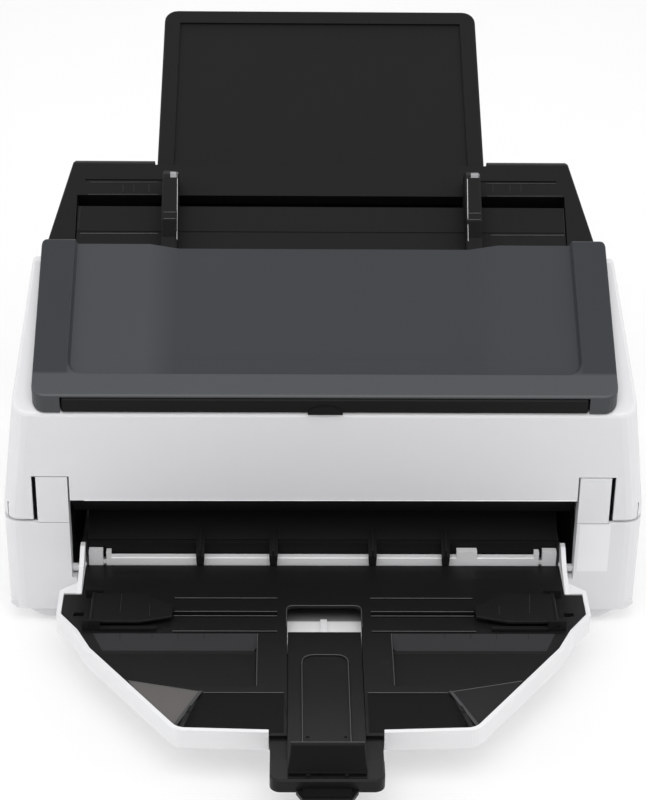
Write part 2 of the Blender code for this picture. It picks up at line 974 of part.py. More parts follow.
def side_frame(with_motor):
    """Side frame plate at the right, with its shaft holes, hinge hole and foot."""
    outline = [(cheek_front, floor_top), (cheek_front, exit_height - cheek_sink)]
    outline += [path_point(cheek_sink, -cheek_sink), path_point(cheek_top_end, -cheek_sink)]
    outline += [(hinge_depth + hinge_shell_radius, rear_deck_height - side_wall - running_gap)]
    outline += [(cheek_rear, rear_deck_height - side_wall - running_gap), (cheek_rear, floor_top)]
    frame = side_prism(outline, cheek_inner, cheek_outer)
    for _, along, above in lower_shafts():
        depth, height = path_point(along, above)
        cut(frame, bar(cheek_inner - overrun, cheek_outer + overrun, depth, height, shaft_radius + seat_gap,
                       small_round_sides))
    cut(frame, bar(cheek_inner - overrun, cheek_outer + overrun, hinge_depth, hinge_height,
                   hinge_pin_radius + seat_gap, small_round_sides))
    if with_motor:
        cut(frame, bar(cheek_inner - overrun, cheek_outer + overrun, motor_depth, motor_height,
                       motor_shaft_radius * 2 + seat_gap, small_round_sides))
    return frame


def build_side_frames():
    place(side_frame(True), "side_frame_right", "base", "black_plastic")
    place(flipped(side_frame(False)), "side_frame_left", "base", "black_plastic")


def build_hinge_pins():
    for side, sign in (("left", -1), ("right", 1)):
        low, high = sorted((sign * hinge_pin_inner, sign * hinge_pin_outer))
        pin = bar(low, high, hinge_depth, hinge_height, hinge_pin_radius, small_round_sides)
        place(shade_round(pin), "cover_hinge_pin_" + side, "base", "steel")


def tyre_spans():
    """Left and right end of each of the two drive tyres."""
    return [(-drive_tyre_inner - drive_tyre_length, -drive_tyre_inner),
            (drive_tyre_inner, drive_tyre_inner + drive_tyre_length)]


def roller_window(left, right, place_along, radius, bottom, top):
    """Cutter for a roller's window in a guide plate, in the path frame."""
    reach = radius + roller_window_margin
    return block(left - roller_window_margin, right + roller_window_margin, place_along - reach,
                 place_along + reach, bottom, top)


def build_lower_guide():
    """Guide plate under the paper, with roller and glass windows and ribs at its front edge."""
    bottom, top = -guide_sink - guide_thickness, -guide_sink
    guide = block(-lower_guide_half_width, lower_guide_half_width, lower_guide_front, lower_guide_rear,
                  bottom, top)
    low, high = bottom - overrun, top + overrun
    for left, right in tyre_spans():
        for along in (eject_place, feed_place):
            cut(guide, roller_window(left, right, along, lower_tyre_radius, low, high))
    cut(guide, roller_window(-separator_half_length, separator_half_length, separator_place, brake_radius,
                             low, high))
    cut(guide, block(-scan_glass_half_width - seat_gap, scan_glass_half_width + seat_gap,
                     lower_scan_place - seat_gap, lower_scan_place + scan_glass_length + seat_gap, low,
                     high))
    lip_front = exit_bar_rear + running_gap
    lip = [path_local(*point) for point in (
        (lip_front, lip_bottom), (lip_front + guide_thickness, lip_bottom),
        (rib_top_depth, exit_bar_top + guide_thickness + lip_rise), (lip_front, exit_bar_top + lip_rise))]
    join(guide, side_prism(lip, -lower_guide_half_width, lower_guide_half_width))
    hook = [path_local(*point) for point in (
        (rib_nose_depth, rib_foot_height), (exit_bar_front - running_gap, rib_foot_height),
        (exit_bar_front - running_gap, exit_bar_top + running_gap),
        (rib_top_depth, exit_bar_top + running_gap),
        (rib_top_depth, rib_top_height), (rib_nose_depth, rib_nose_top))]
    for share in rib_place_shares:
        x = share * lower_guide_half_width
        profile = [(x - rib_base_half_width, -rib_height), (x + rib_base_half_width, -rib_height),
                   (x + rib_shoulder_half_width, 0), (x + rib_half_width, rib_shoulder_height),
                   (x + rib_half_width, rib_height), (x - rib_half_width, rib_height),
                   (x - rib_half_width, rib_shoulder_height), (x - rib_shoulder_half_width, 0)]
        rib = front_prism(profile, -rib_height * 2, rib_height * 2)
        keep(rib, side_prism(hook, x - rib_base_half_width * 2, x + rib_base_half_width * 2))
        join(guide, rib)
    place(guide, "lower_paper_guide", "base", "black_plastic", path_frame())


def build_exit_bar():
    """Light bar across the paper exit, with an end post on each side and one tab."""
    bar_shape = block(-exit_bar_half_width, exit_bar_half_width, exit_bar_front, exit_bar_rear,
                      exit_bar_bottom, exit_bar_top)
    soften(bar_shape, edge_radius / 2)
    for sign in (-1, 1):
        low, high = sorted((sign * exit_bar_half_width, sign * (exit_bar_half_width + exit_post_width)))
        overlap = sign * exit_post_width / 4
        post = block(min(low, low - overlap), max(high, high - overlap), exit_bar_front, exit_bar_rear,
                     exit_bar_bottom, exit_bar_top + exit_post_height)
        join(bar_shape, post)
        low, high = sorted((sign * exit_bracket_inner, sign * exit_bracket_outer))
        join(bar_shape, block(low, high, exit_bar_front, exit_bar_rear, exit_bar_bottom,
                              exit_bar_top + exit_bracket_height))
        low, high = sorted((sign * (exit_bar_half_width + overlap * sign / 2),
                            sign * (exit_bracket_inner + overrun / 8)))
        join(bar_shape, block(low, high, exit_bar_front + edge_radius, exit_bar_rear - edge_radius,
                              exit_bar_bottom + edge_radius,
                              exit_bar_bottom + edge_radius + exit_bracket_foot))
    tab = block(exit_tab_inner, exit_tab_outer, exit_bar_front, exit_bar_rear,
                exit_bar_bottom + exit_post_width,
                exit_bar_top + exit_tab_height)
    join(bar_shape, tab)
    place(bar_shape, "exit_bar", "base", "grey_plastic")


def build_scan_units():
    """Lower and upper reading units, each a closed box behind its glass."""
    front, rear = lower_scan_place - scan_unit_margin, lower_scan_place + scan_glass_length + scan_unit_margin
    top = -guide_sink - guide_thickness - seat_gap
    half = cheek_inner - seat_gap
    unit = block(-half, half, front, rear, top - scan_unit_depth, top)
    soften(unit, edge_radius)
    place(unit, "lower_scan_unit", "base", "black_plastic", path_frame())
    glass = block(-scan_glass_half_width, scan_glass_half_width, lower_scan_place,
                  lower_scan_place + scan_glass_length, top + seat_gap,
                  top + seat_gap + scan_glass_thickness)
    place(glass, "lower_scan_glass", "base", "glass", path_frame())
    front, rear = upper_scan_place - scan_unit_margin, upper_scan_place + scan_glass_length + scan_unit_margin
    bottom = upper_plate_height + upper_plate_thickness + seat_gap
    half = flange_inner - seat_gap
    unit = block(-half, half, front, rear, bottom, bottom + scan_unit_depth)
    soften(unit, edge_radius)
    place(unit, "upper_scan_unit", "cover", "black_plastic", path_frame())
    glass = block(-scan_glass_half_width, scan_glass_half_width, upper_scan_place,
                  upper_scan_place + scan_glass_length, bottom - seat_gap - scan_glass_thickness,
                  bottom - seat_gap)
    place(glass, "upper_scan_glass", "cover", "glass", path_frame())


def tyre(left, right, radius, bore):
    wheel = bar(left, right, 0, 0, radius)
    cut(wheel, bar(left - overrun, right + overrun, 0, 0, bore + tyre_bore_gap, small_round_sides))
    return shade_round(wheel)


def path_place(along, above):
    return path_frame() @ Matrix.Translation((0, along, above))


def build_driven_roller(name, along, right_end):
    """A steel shaft with two rubber tyres, turning in the side frames."""
    frame = path_place(along, -lower_tyre_radius)
    shaft = bar(-shaft_half_length, right_end, 0, 0, shaft_radius, small_round_sides)
    place(shade_round(shaft), name + "_shaft", name + "_roller", "steel", frame)
    for side, (left, right) in zip(("left", "right"), tyre_spans()):
        wheel = tyre(left, right, lower_tyre_radius, shaft_radius)
        place(wheel, name + "_tyre_" + side, name + "_roller", "rubber", frame)


def build_drive():
    build_driven_roller("eject", eject_place, shaft_half_length)
    build_driven_roller("feed", feed_place, pulley_inner + pulley_width + running_gap)
    feed_pulley = tyre(pulley_inner, pulley_inner + pulley_width, pulley_radius, shaft_radius)
    place(feed_pulley, "feed_pulley", "feed_roller", "black_plastic",
          path_place(feed_place, -lower_tyre_radius))
    brake = bar(-separator_half_length, separator_half_length, 0, 0, brake_radius)
    join(brake, bar(-shaft_half_length, shaft_half_length, 0, 0, shaft_radius, small_round_sides))
    place(shade_round(brake), "brake_roller", "brake_roller", "rubber",
          path_place(separator_place, -brake_radius))
    motor = bar(cheek_inner - seat_gap - motor_length, cheek_inner - seat_gap, motor_depth, motor_height,
                motor_radius)
    nose = bar(cheek_inner - seat_gap - motor_length / 2, pulley_inner - running_gap, motor_depth,
               motor_height,
               motor_shaft_radius * 2, small_round_sides)
    join(motor, nose)
    place(shade_round(motor), "drive_motor", "base", "steel")
    frame = Matrix.Translation((0, motor_depth, motor_height))
    small_pulley = bar(pulley_inner, pulley_inner + pulley_width, 0, 0, motor_pulley_radius)
    place(shade_round(small_pulley), "motor_pulley", "motor_pulley", "steel", frame)
    build_belt()


def belt_outline(feed_centre, motor_centre, feed_radius, motor_radius_here):
    """Closed outline tangent to both pulleys."""
    away = Vector(feed_centre) - Vector(motor_centre)
    heading = math.atan2(away.y, away.x)
    lean = math.acos((motor_radius_here - feed_radius) / away.length)
    points = []
    for centre, radius, start, end in (
            (feed_centre, feed_radius, heading - math.pi + lean, heading + math.pi - lean),
            (motor_centre, motor_radius_here, heading + math.pi - lean, heading + math.pi + lean)):
        for step in range(round_sides // 2 + 1):
            angle = start + (end - start) * step * 2 / round_sides
            points.append((centre[0] + radius * math.cos(angle), centre[1] + radius * math.sin(angle)))
    return points


def build_belt():
    feed_centre = path_point(feed_place, -lower_tyre_radius)
    motor_centre = (motor_depth, motor_height)
    inner = belt_outline(feed_centre, motor_centre, pulley_radius + belt_gap,
                         motor_pulley_radius + belt_gap)
    outer = belt_outline(feed_centre, motor_centre, pulley_radius + belt_gap + belt_thickness,
                         motor_pulley_radius + belt_gap + belt_thickness)
    belt = side_prism(outer, pulley_inner + belt_gap, pulley_inner + pulley_width - belt_gap)
    cut(belt, side_prism(inner, pulley_inner - overrun, pulley_inner + pulley_width + overrun))
    place(belt, "drive_belt", "base", "rubber")


def build_electronics():
    board = block(board_left, board_right, board_depth, board_depth + board_thickness, floor_top,
                  floor_top + board_height)
    place(board, "main_board", "base", "board")
    supply = block(-supply_outer, -supply_inner, supply_front, supply_rear, floor_top,
                   floor_top + supply_height)
    soften(supply, edge_radius)
    place(supply, "power_supply", "base", "steel")
    inlet = block(inlet_place - inlet_width / 2, inlet_place + inlet_width / 2, body_depth - inlet_deep,
                  body_depth,
                  inlet_height - inlet_tall / 2, inlet_height + inlet_tall / 2)
    cut(inlet, block(inlet_place - inlet_width / 2 + inlet_rim, inlet_place + inlet_width / 2 - inlet_rim,
                     body_depth - inlet_recess, body_depth + overrun,
                     inlet_height - inlet_tall / 2 + inlet_rim,
                     inlet_height + inlet_tall / 2 - inlet_rim))
    for turn in (-1, 0, 1):
        x = inlet_place + turn * inlet_pin_pitch
        join(inlet, block(x - inlet_pin_width / 2, x + inlet_pin_width / 2,
                          body_depth - inlet_recess - inlet_rim / 2,
                          body_depth - inlet_recess + inlet_pin_length, inlet_height - inlet_pin_tall / 2,
                          inlet_height + inlet_pin_tall / 2))
    place(inlet, "power_inlet", "base", "black_plastic")
    usb_front = board_depth + board_thickness + seat_gap
    usb = block(usb_place - usb_width / 2, usb_place + usb_width / 2, usb_front, body_depth,
                inlet_height - usb_tall / 2, inlet_height + usb_tall / 2)
    cut(usb, block(usb_place - usb_width / 2 + usb_rim, usb_place + usb_width / 2 - usb_rim,
                   body_depth - usb_recess,
                   body_depth + overrun, inlet_height - usb_tall / 2 + usb_rim,
                   inlet_height + usb_tall / 2 - usb_rim))
    join(usb, block(usb_place - usb_tongue_width / 2, usb_place + usb_tongue_width / 2,
                    body_depth - usb_recess - usb_rim / 2, body_depth - usb_recess + usb_tongue_length,
                    inlet_height - usb_tongue_tall / 2, inlet_height + usb_tongue_tall / 2))
    place(usb, "usb_socket", "base", "steel")


def switch_place_matrix():
    return Matrix.Translation((switch_place, body_depth - switch_pivot_inset, inlet_height))


def build_switch():
    """Rocker switch, at rest with its upper end pressed."""
    half = switch_tall / 2
    outline = [(switch_pivot_inset - switch_deep, -half * rocker_back_share), (switch_pivot_inset, -half),
               (switch_pivot_inset - switch_dip, 0), (switch_pivot_inset, half),
               (switch_pivot_inset - switch_deep, half * rocker_back_share)]
    rocker = side_prism(outline, -switch_width / 2, switch_width / 2)
    frame = switch_place_matrix() @ Matrix.Rotation(switch_throw, 4, "X")
    place(rocker, "power_switch", "power_switch", "black_plastic", frame)


def path_local(depth, height):
    """Place along the path and above it of a machine point."""
    away, up = depth - exit_depth, height - exit_height
    along = away * math.cos(path_angle) + up * math.sin(path_angle)
    above = up * math.cos(path_angle) - away * math.sin(path_angle)
    return along, above


def hopper_half(along):
    """Half width of the hopper casing, which narrows above its shoulder line."""
    share = max(0, along - hopper_shoulder) / (hopper_top - hopper_shoulder)
    return hopper_half_width + (hopper_top_half_width - hopper_half_width) * share


def build_hopper_frame():
    """Casing behind the feeder cover, with the table's well, the slot for the side guides' carriage,
    a groove across each shoulder and a pocket for the extension."""
    deck = rear_deck_height + seat_gap
    low_rear = path_local(body_depth - rear_deck_drop / 2, deck)
    low_front = path_local(hinge_depth + hinge_shell_radius + rear_deck_drop * hopper_foot_share, deck)
    profile = [(hopper_front, 0), (hopper_shoulder, 0), (hopper_top - hopper_edge, 0),
               (hopper_top, -hopper_edge), (hopper_top, -hopper_top_thickness), low_rear, low_front,
               (hopper_front, -hopper_front_thickness)]
    low = [(-hopper_half(along), along, above) for along, above in profile]
    high = [(hopper_half(along), along, above) for along, above in profile]
    frame = loft(low, high)
    soften(frame, hopper_edge / 4)
    change_in_place(frame)
    well = block(-hopper_well_half_width, hopper_well_half_width, hopper_front - overrun, hopper_well_rear,
                 -hopper_floor, overrun)
    cut(frame, well)
    pocket_half = extension_half_width + running_gap
    cut(frame, block(-pocket_half, pocket_half, hopper_well_rear - overrun, hopper_top + overrun,
                     -extension_sink - extension_thickness - running_gap,
                     -extension_sink + extension_rim_rise
                     + running_gap))
    cut(frame, block(-pocket_half, pocket_half, hopper_throat, hopper_top + overrun,
                     -extension_sink - extension_thickness - running_gap, overrun))
    for sign in (-1, 1):
        low, high = sorted((sign * hopper_groove_inner, sign * hopper_groove_outer))
        cut(frame, block(low, high, hopper_groove_place, hopper_groove_place + hopper_groove_width,
                         -hopper_groove_depth, overrun))
    place(frame, "hopper_frame", "base", "black_plastic", path_frame())


def build_hopper_table():
    """Lifting plate that carries the stack, narrower in front."""
    plan = mirrored([(table_front_half_width, table_front), (table_front_half_width, table_step_place),
                     (table_half_width, table_step_place + table_thickness),
                     (table_half_width, table_rear)])
    plan = rounded(plan, {0: corner_radius / 2, 7: corner_radius / 2})
    table = plan_prism(plan, -table_sink - table_thickness, -table_sink)
    line = table_line_place
    cut(table, block(-table_half_width - overrun, table_half_width + overrun, line,
                     line + hopper_groove_width,
                     -table_sink - hopper_groove_depth / 2, overrun))
    place(table, "hopper_table", "table", "black_plastic", path_frame())


def build_hopper_extension():
    """Long support behind the sheets, with a raised rim along each side and its top."""
    tip, tail = extension_tip_half_width, extension_half_width
    plan = [(-tail, extension_tail), (tail, extension_tail), (tip, extension_tip), (-tip, extension_tip)]
    outline = rounded(plan, {2: extension_corner, 3: extension_corner})
    top = -extension_sink + extension_rim_rise
    plate = plan_prism(outline, -extension_sink - extension_thickness, top)
    soften(plate, edge_radius)
    change_in_place(plate)
    inset = extension_rim
    floor = [(-tail + inset, extension_tail - overrun), (tail - inset, extension_tail - overrun),
             (tip - inset, extension_tip - inset), (-tip + inset, extension_tip - inset)]
    cut(plate, plan_prism(floor, -extension_sink, overrun))
    place(plate, "hopper_extension", "extension", "black_plastic", path_frame())


def guide_profile():
    """Side view of a hopper side guide: low in front, tall behind, with a rounded nose."""
    outline = [(guide_front, guide_foot_rise), (guide_front, guide_low_height),
               (guide_step_place - guide_nose, guide_low_height), (guide_step_place, guide_body_height),
               (guide_rear, guide_body_height), (guide_rear, guide_foot_rise)]
    return rounded(outline, {1: guide_nose, 4: guide_nose})


def rack_bar(start, end, front, rear, tooth_side, bottom, top):
    """Bar along X with teeth on its front (-1) or rear (1) side."""
    pitch = 2 * math.pi * pinion_pitch_radius / pinion_teeth
    body_front = front + (rack_tooth if tooth_side < 0 else 0)
    body_rear = rear - (rack_tooth if tooth_side > 0 else 0)
    edge = front if tooth_side < 0 else rear
    root = body_front if tooth_side < 0 else body_rear
    far = body_rear if tooth_side < 0 else body_front
    first, last = math.ceil(start / pitch), math.floor(end / pitch)
    points = [(start, far), (start, root)]
    for tooth in range(first, last - 1):
        x = pitch * (tooth + 1 / 2)
        points += [(x, root), (x + pitch * tooth_top_share, edge),
                   (x + pitch * (tooth_top_share + tooth_land_share),
                                                                  edge),
                   (x + pitch * (2 * tooth_top_share + tooth_land_share), root)]
    points += [(end, root), (end, far)]
    return plan_prism(points, bottom, top)


def side_guide(rack_front, rack_rear, tooth_side):
    """Right side guide: wall, post through the slot, and its rack under the table."""
    inner = guide_inner_face
    guide = side_prism(guide_profile(), inner, inner + guide_body_width)
    soften(guide, edge_radius)
    change_in_place(guide)
    top, bottom = -rack_layer_top, -rack_layer_top - rack_layer_thickness
    bridge_top = bottom - rack_bridge_gap
    bridge_bottom = bridge_top - rack_layer_thickness
    post_bottom = bridge_bottom if tooth_side > 0 else bottom
    join(guide, block(inner, inner + guide_body_width, post_front, post_rear, post_bottom,
                      guide_foot_rise + rack_tooth / 2))
    if tooth_side > 0:
        join(guide, block(inner, inner + guide_body_width, rack_front, post_rear - rack_tooth / 2,
                          bridge_bottom,
                          bridge_top))
        join(guide, block(inner + rack_tooth / 2, inner + guide_body_width - rack_tooth / 2, rack_front,
                          rack_rear - rack_tooth, bridge_top - rack_tooth / 4, top))
    else:
        join(guide, block(inner, inner + guide_body_width, rack_rear - rack_tooth / 2,
                          post_front + rack_tooth / 2,
                          bottom, top))
    rack_start = inner + guide_body_width * tooth_top_share - rack_length
    rack = rack_bar(rack_start, inner + guide_body_width - rack_tooth, rack_front, rack_rear, tooth_side,
                    bottom, top)
    join(guide, rack)
    return guide


def build_side_guides():
    mesh_gap = pinion_radius - rack_tooth + rack_clearance
    near_front = pinion_place - mesh_gap - rack_width
    right = side_guide(near_front, pinion_place - mesh_gap, 1)
    place(right, "hopper_guide_right", "guide_right", "black_plastic", path_frame())
    left = flipped(side_guide(pinion_place + mesh_gap, post_front - rack_bridge_gap, -1))
    place(left, "hopper_guide_left", "guide_left", "black_plastic", path_frame())


def build_pinion():
    points = []
    for tooth in range(pinion_teeth):
        for share, radius in ((0.0, pinion_radius - rack_tooth), (tooth_top_share, pinion_radius),
                              (tooth_top_share + tooth_land_share, pinion_radius),
                              (2 * tooth_top_share + tooth_land_share, pinion_radius - rack_tooth)):
            angle = 2 * math.pi * (tooth + share) / pinion_teeth
            points.append((radius * math.cos(angle), radius * math.sin(angle)))
    table_bottom = -table_sink - table_thickness
    gear = plan_prism(points, -rack_layer_top - rack_layer_thickness, table_bottom - seat_gap)
    place(gear, "guide_pinion", "pinion", "grey_plastic",
          path_frame() @ Matrix.Translation((0, pinion_place, 0)))


def cover_line(depth, below):
    """Height of the sloping top of the feeder cover, less a drop measured straight down."""
    return shell_front_height + cover_thickness + depth * cover_slope - below


def shell_profile(inset):
    """Side view of the feeder's white shell, front to rear, with the arc round the hinge pins."""
    drop = cover_thickness + seat_gap
    top = [(cover_depth, cover_line(cover_depth, drop)), (shell_rear_high, shell_rear_high_height),
           (shell_rear_low, shell_rear_low_height)]
    outline = [(0, cover_line(0, drop))] + top + list(reversed(parting_line(0)))
    return grown(outline, -inset) if inset else outline


def drafted(profile, inset):
    """Solid with this side view and the shell's drafted sides."""
    low = [(-shell_half_width(z) + inset, y, z) for y, z in profile]
    high = [(shell_half_width(z) - inset, y, z) for y, z in profile]
    return loft(low, high)


def corner_prism(inset):
    """Upright solid with the shell's drafted sides and its two rounded front corners."""
    rings = []
    for height in (parting_height - overrun, shell_draft_start, shell_rear_high_height + overrun):
        half = shell_half_width(height) - inset
        plan = [(-half, inset), (half, inset), (half, body_depth + overrun), (-half, body_depth + overrun)]
        plan = rounded(plan, {0: corner_radius - inset, 1: corner_radius - inset})
        rings.append([(x, y, height) for x, y in plan])
    return stacked(rings)


def build_cover_shell():
    """Front wall and drafted sides of the feeder, with notches for the body's two pillars."""
    shell = drafted(shell_profile(0), -seat_gap)
    keep(shell, corner_prism(0))
    soften(shell, shell_edge, 2, math.radians(40))
    change_in_place(shell)
    inner = drafted(shell_profile(shell_wall), shell_wall - seat_gap)
    keep(inner, corner_prism(shell_wall))
    cut(shell, inner)
    floor_cut = block(-half_width + shell_floor_wall, half_width - shell_floor_wall, shell_floor_wall,
                      hinge_depth + hinge_shell_radius - shell_wall, parting_height - overrun,
                      parting_height + shell_wall + overrun / 2)
    cut(shell, floor_cut)
    cut(shell, block(-cover_half_width + shell_flange, cover_half_width - shell_flange, shell_flange,
                     body_depth + overrun, parting_height - overrun * 2,
                     shell_rear_high_height + overrun * 4))
    cut(shell, block(-hopper_half_width - hopper_clearance, hopper_half_width + hopper_clearance,
                     shell_pod_rear,
                     body_depth, parting_height - overrun, shell_rear_high_height + overrun))
    cut(shell, block(-pillar_inner + side_gap / 2, pillar_inner - side_gap / 2, -overrun, hinge_depth,
                     parting_height - overrun, shell_mouth_height))
    for sign in (-1, 1):
        low, high = sorted((sign * (pillar_inner - side_gap), sign * notch_outer))
        cut(shell, block(low, high, -overrun, pillar_depth + side_gap, parting_height - overrun, notch_top))
    place(shell, "cover_shell", "cover", "white_plastic")


def scoop_plan(half, front, rear, corner):
    return rounded([(-half, front), (half, front), (half, rear), (-half, rear)], {0: corner, 1: corner})


def cover_frame():
    """Frame on the sloping top of the feeder cover, whose heights are square to it."""
    return Matrix.Translation((0, 0, cover_line(0, 0))) @ Matrix.Rotation(cover_angle, 4, "X")


def build_top_cover():
    """Black top cover: a thick sloping lid with a recess, a lower scoop in its middle with ramped
    sides, and a pocket in its front edge for the release bar."""
    slope_length = cover_depth / math.cos(cover_angle)
    profile = [(-cover_front, cover_line(0, cover_thickness)), (-cover_front, cover_line(0, 0)),
               (cover_depth, cover_line(cover_depth, 0)),
               (cover_depth, cover_line(cover_depth, cover_thickness))]
    cover = side_prism(profile, -cover_half_width, cover_half_width)
    corners = rounded([(-cover_half_width, -cover_front), (cover_half_width, -cover_front),
                       (cover_half_width, cover_depth), (-cover_half_width, cover_depth)],
                      {0: cover_front_corner, 1: cover_front_corner, 2: cover_rear_corner,
                       3: cover_rear_corner})
    keep(cover, plan_prism(corners, shell_mouth_height, shell_rear_high_height * 2))
    soften(cover, cover_edge, 2)
    change_in_place(cover)
    recess_start = recess_front / math.cos(cover_angle)
    rings = []
    for inset, height in ((recess_draft, -recess_depth), (0, 0), (0, overrun)):
        plan = scoop_plan(recess_half_width - inset, recess_start + inset, slope_length + overrun,
                          recess_corner)
        rings.append([(x, y, height) for x, y in plan])
    recess = stacked(rings)
    recess.data.transform(cover_frame())
    cut(cover, recess)
    low, high = -recess_depth - scoop_depth, -recess_depth + scoop_depth
    ramp = scoop_ramp * (high + recess_depth) / scoop_depth
    bottom_half = scoop_half_width
    section = [(-bottom_half, low), (bottom_half, low), (bottom_half + scoop_ramp, -recess_depth),
               (bottom_half + scoop_ramp + ramp, high), (-bottom_half - scoop_ramp - ramp, high),
               (-bottom_half - scoop_ramp, -recess_depth)]
    scoop = front_prism(section, scoop_front / math.cos(cover_angle), slope_length + overrun)
    scoop.data.transform(cover_frame())
    cut(cover, scoop)
    pocket_half = release_half_width + side_gap / 2
    cut(cover, block(-pocket_half, pocket_half, -overrun, release_depth + running_gap,
                     cover_line(0, cover_thickness) - overrun,
                     cover_line(0, cover_thickness) + release_height + release_lift + running_gap))
    place(cover, "top_cover", "cover", "dark_plastic")


def build_release_bar():
    """Bar along the cover's front edge that frees the cover when its middle is pressed up."""
    bottom = cover_line(0, cover_thickness) + release_lift
    top = bottom + release_height
    rear_bottom = cover_line(release_depth, cover_thickness) + release_lift
    profile = [(-cover_front, bottom), (release_depth, rear_bottom), (release_depth, top),
               (-cover_front, top)]
    bar_shape = side_prism(profile, -release_half_width, release_half_width)
    soften(bar_shape, edge_radius)
    change_in_place(bar_shape)
    lip_outline = [(-release_lip_half_width, bottom), (release_lip_half_width, bottom)]
    lip_side = bottom + release_lip_height
    lip_rise = (top - lip_side) / 2
    for step in range(arc_steps + 1):
        angle = math.pi * step / arc_steps
        lip_outline.append((release_lip_half_width * math.cos(angle), lip_side + lip_rise * math.sin(angle)))
    lip = front_prism(lip_outline, -cover_front - release_lip_reach, 0)
    join(bar_shape, lip)
    place(bar_shape, "release_bar", "release_bar", "black_plastic")


def build_upper_frame():
    """Frame inside the feeder cover: paper guide, mouth lip and the two hinge plates."""
    low, high = upper_plate_height, upper_plate_height + upper_plate_thickness
    mouth_top = path_local(side_wall + seat_gap + upper_plate_thickness, shell_mouth_height)
    outline = [(upper_plate_front, low), (upper_plate_rear, low), (upper_plate_rear, high),
               (upper_plate_front + upper_plate_thickness, high),
               (upper_mouth_bend + upper_plate_thickness, upper_mouth_bend_height + upper_plate_thickness),
               (upper_mouth_front + upper_plate_thickness, upper_mouth_height + upper_plate_thickness),
               (mouth_top[0], mouth_top[1] + upper_plate_thickness),
               (mouth_top[0], mouth_top[1]), (upper_mouth_front, upper_mouth_height),
               (upper_mouth_bend, upper_mouth_bend_height)]
    frame = side_prism(outline, -guide_half_width, guide_half_width)
    join(frame, block(-flange_outer, flange_outer, upper_plate_front + upper_plate_thickness * 2,
                      upper_plate_rear,
                      low, high))
    hinge_along, hinge_above = path_local(hinge_depth, hinge_height)
    boss = circle(hinge_boss_radius, round_sides, (hinge_along, hinge_above))
    plate = [(upper_plate_front + upper_plate_thickness * 2, low), (separator_place, low),
             (hinge_along - hinge_boss_radius * flange_root_share, hinge_above),
             (hinge_along + hinge_boss_radius * flange_root_share, hinge_above),
             (pick_place, pick_height), (separator_place, flange_height),
             (upper_plate_front + upper_plate_thickness * 2, flange_height)]
    for sign in (-1, 1):
        left, right = sorted((sign * flange_inner, sign * flange_outer))
        flange = side_prism(plate, left, right)
        join(flange, side_prism(boss, left, right))
        cut(flange, bar(left - overrun, right + overrun, hinge_along, hinge_above,
                        hinge_pin_radius + seat_gap,
                        small_round_sides))
        join(frame, flange)
    arm_plate = [(separator_place, low), (upper_plate_rear, low), (pick_place + pick_arm_reach, pick_height
                 - pick_arm_reach), (pick_place + pick_arm_reach, pick_height + pick_arm_reach),
                 (pick_place - pick_arm_reach, pick_height + pick_arm_reach), (separator_place, high)]
    for sign in (-1, 1):
        left, right = sorted((sign * pick_arm_inner, sign * (pick_arm_inner + upper_plate_thickness)))
        arm = side_prism(arm_plate, left, right)
        cut(arm, bar(left - overrun, right + overrun, pick_place, pick_height, shaft_radius + seat_gap,
                     small_round_sides))
        join(frame, arm)
    axis_height = path_gap + pinch_tyre_radius
    for along in (eject_place, feed_place):
        for sign in (-1, 1):
            left, right = sorted((sign * pinch_bearing_inner, sign * pinch_bearing_outer))
            join(frame, block(left, right, along - pinch_bearing_half_depth,
                              along + pinch_bearing_half_depth, low,
                              axis_height + pinch_bearing_half_depth))
        cut(frame, bar(-pinch_shaft_half_length - seat_gap, pinch_shaft_half_length + seat_gap, along,
                       axis_height,
                       shaft_radius + tyre_bore_gap, small_round_sides))
    bottom, top = low - overrun, high + overrun
    for left, right in tyre_spans():
        cut(frame, roller_window(left, right, eject_place, pinch_tyre_radius, bottom - overrun,
                                 top + overrun * 2))
        cut(frame, roller_window(left, right, feed_place, pinch_tyre_radius, bottom, top))
    cut(frame, roller_window(-separator_half_length, separator_half_length, separator_place,
                             separator_radius,
                             bottom, top))
    belt_reach = pulley_radius + belt_gap + belt_thickness + roller_window_margin
    cut(frame, block(pulley_inner - running_gap, pulley_inner + pulley_width + running_gap,
                     feed_place - belt_reach,
                     feed_place + belt_reach, bottom, top))
    cut(frame, block(-scan_glass_half_width - seat_gap, scan_glass_half_width + seat_gap,
                     upper_scan_place - seat_gap, upper_scan_place + scan_glass_length + seat_gap, bottom,
                     top))
    place(frame, "upper_frame", "cover", "black_plastic", path_frame())


def build_upper_rollers():
    for name, along in (("eject", eject_place), ("feed", feed_place)):
        above = path_gap + pinch_tyre_radius
        roller = bar(-pinch_shaft_half_length, pinch_shaft_half_length, 0, 0, shaft_radius,
                     small_round_sides)
        for left, right in tyre_spans():
            join(roller, bar(left, right, 0, 0, pinch_tyre_radius))
        place(shade_round(roller), name + "_pinch_roller", name + "_pinch", "rubber",
              path_place(along, above))
    separator = bar(-separator_half_length, separator_half_length, 0, 0, separator_radius)
    join(separator, bar(-flange_inner + seat_gap, flange_inner - seat_gap, 0, 0, shaft_radius,
                        small_round_sides))
    place(shade_round(separator), "separator_roller", "separator_roller", "rubber",
          path_place(separator_place, path_gap + separator_radius))
    frame = path_place(pick_place, pick_height)
    shaft = bar(-pick_shaft_half_length, pick_shaft_half_length, 0, 0, shaft_radius, small_round_sides)
    place(shade_round(shaft), "pick_shaft", "pick_rollers", "steel", frame)
    for side, sign in (("left", -1), ("right", 1)):
        left, right = sorted((sign * pick_tyre_inner, sign * (pick_tyre_inner + pick_tyre_length)))
        wheel = tyre(left, right, pick_radius, shaft_radius)
        place(wheel, "pick_tyre_" + side, "pick_rollers", "rubber", frame)


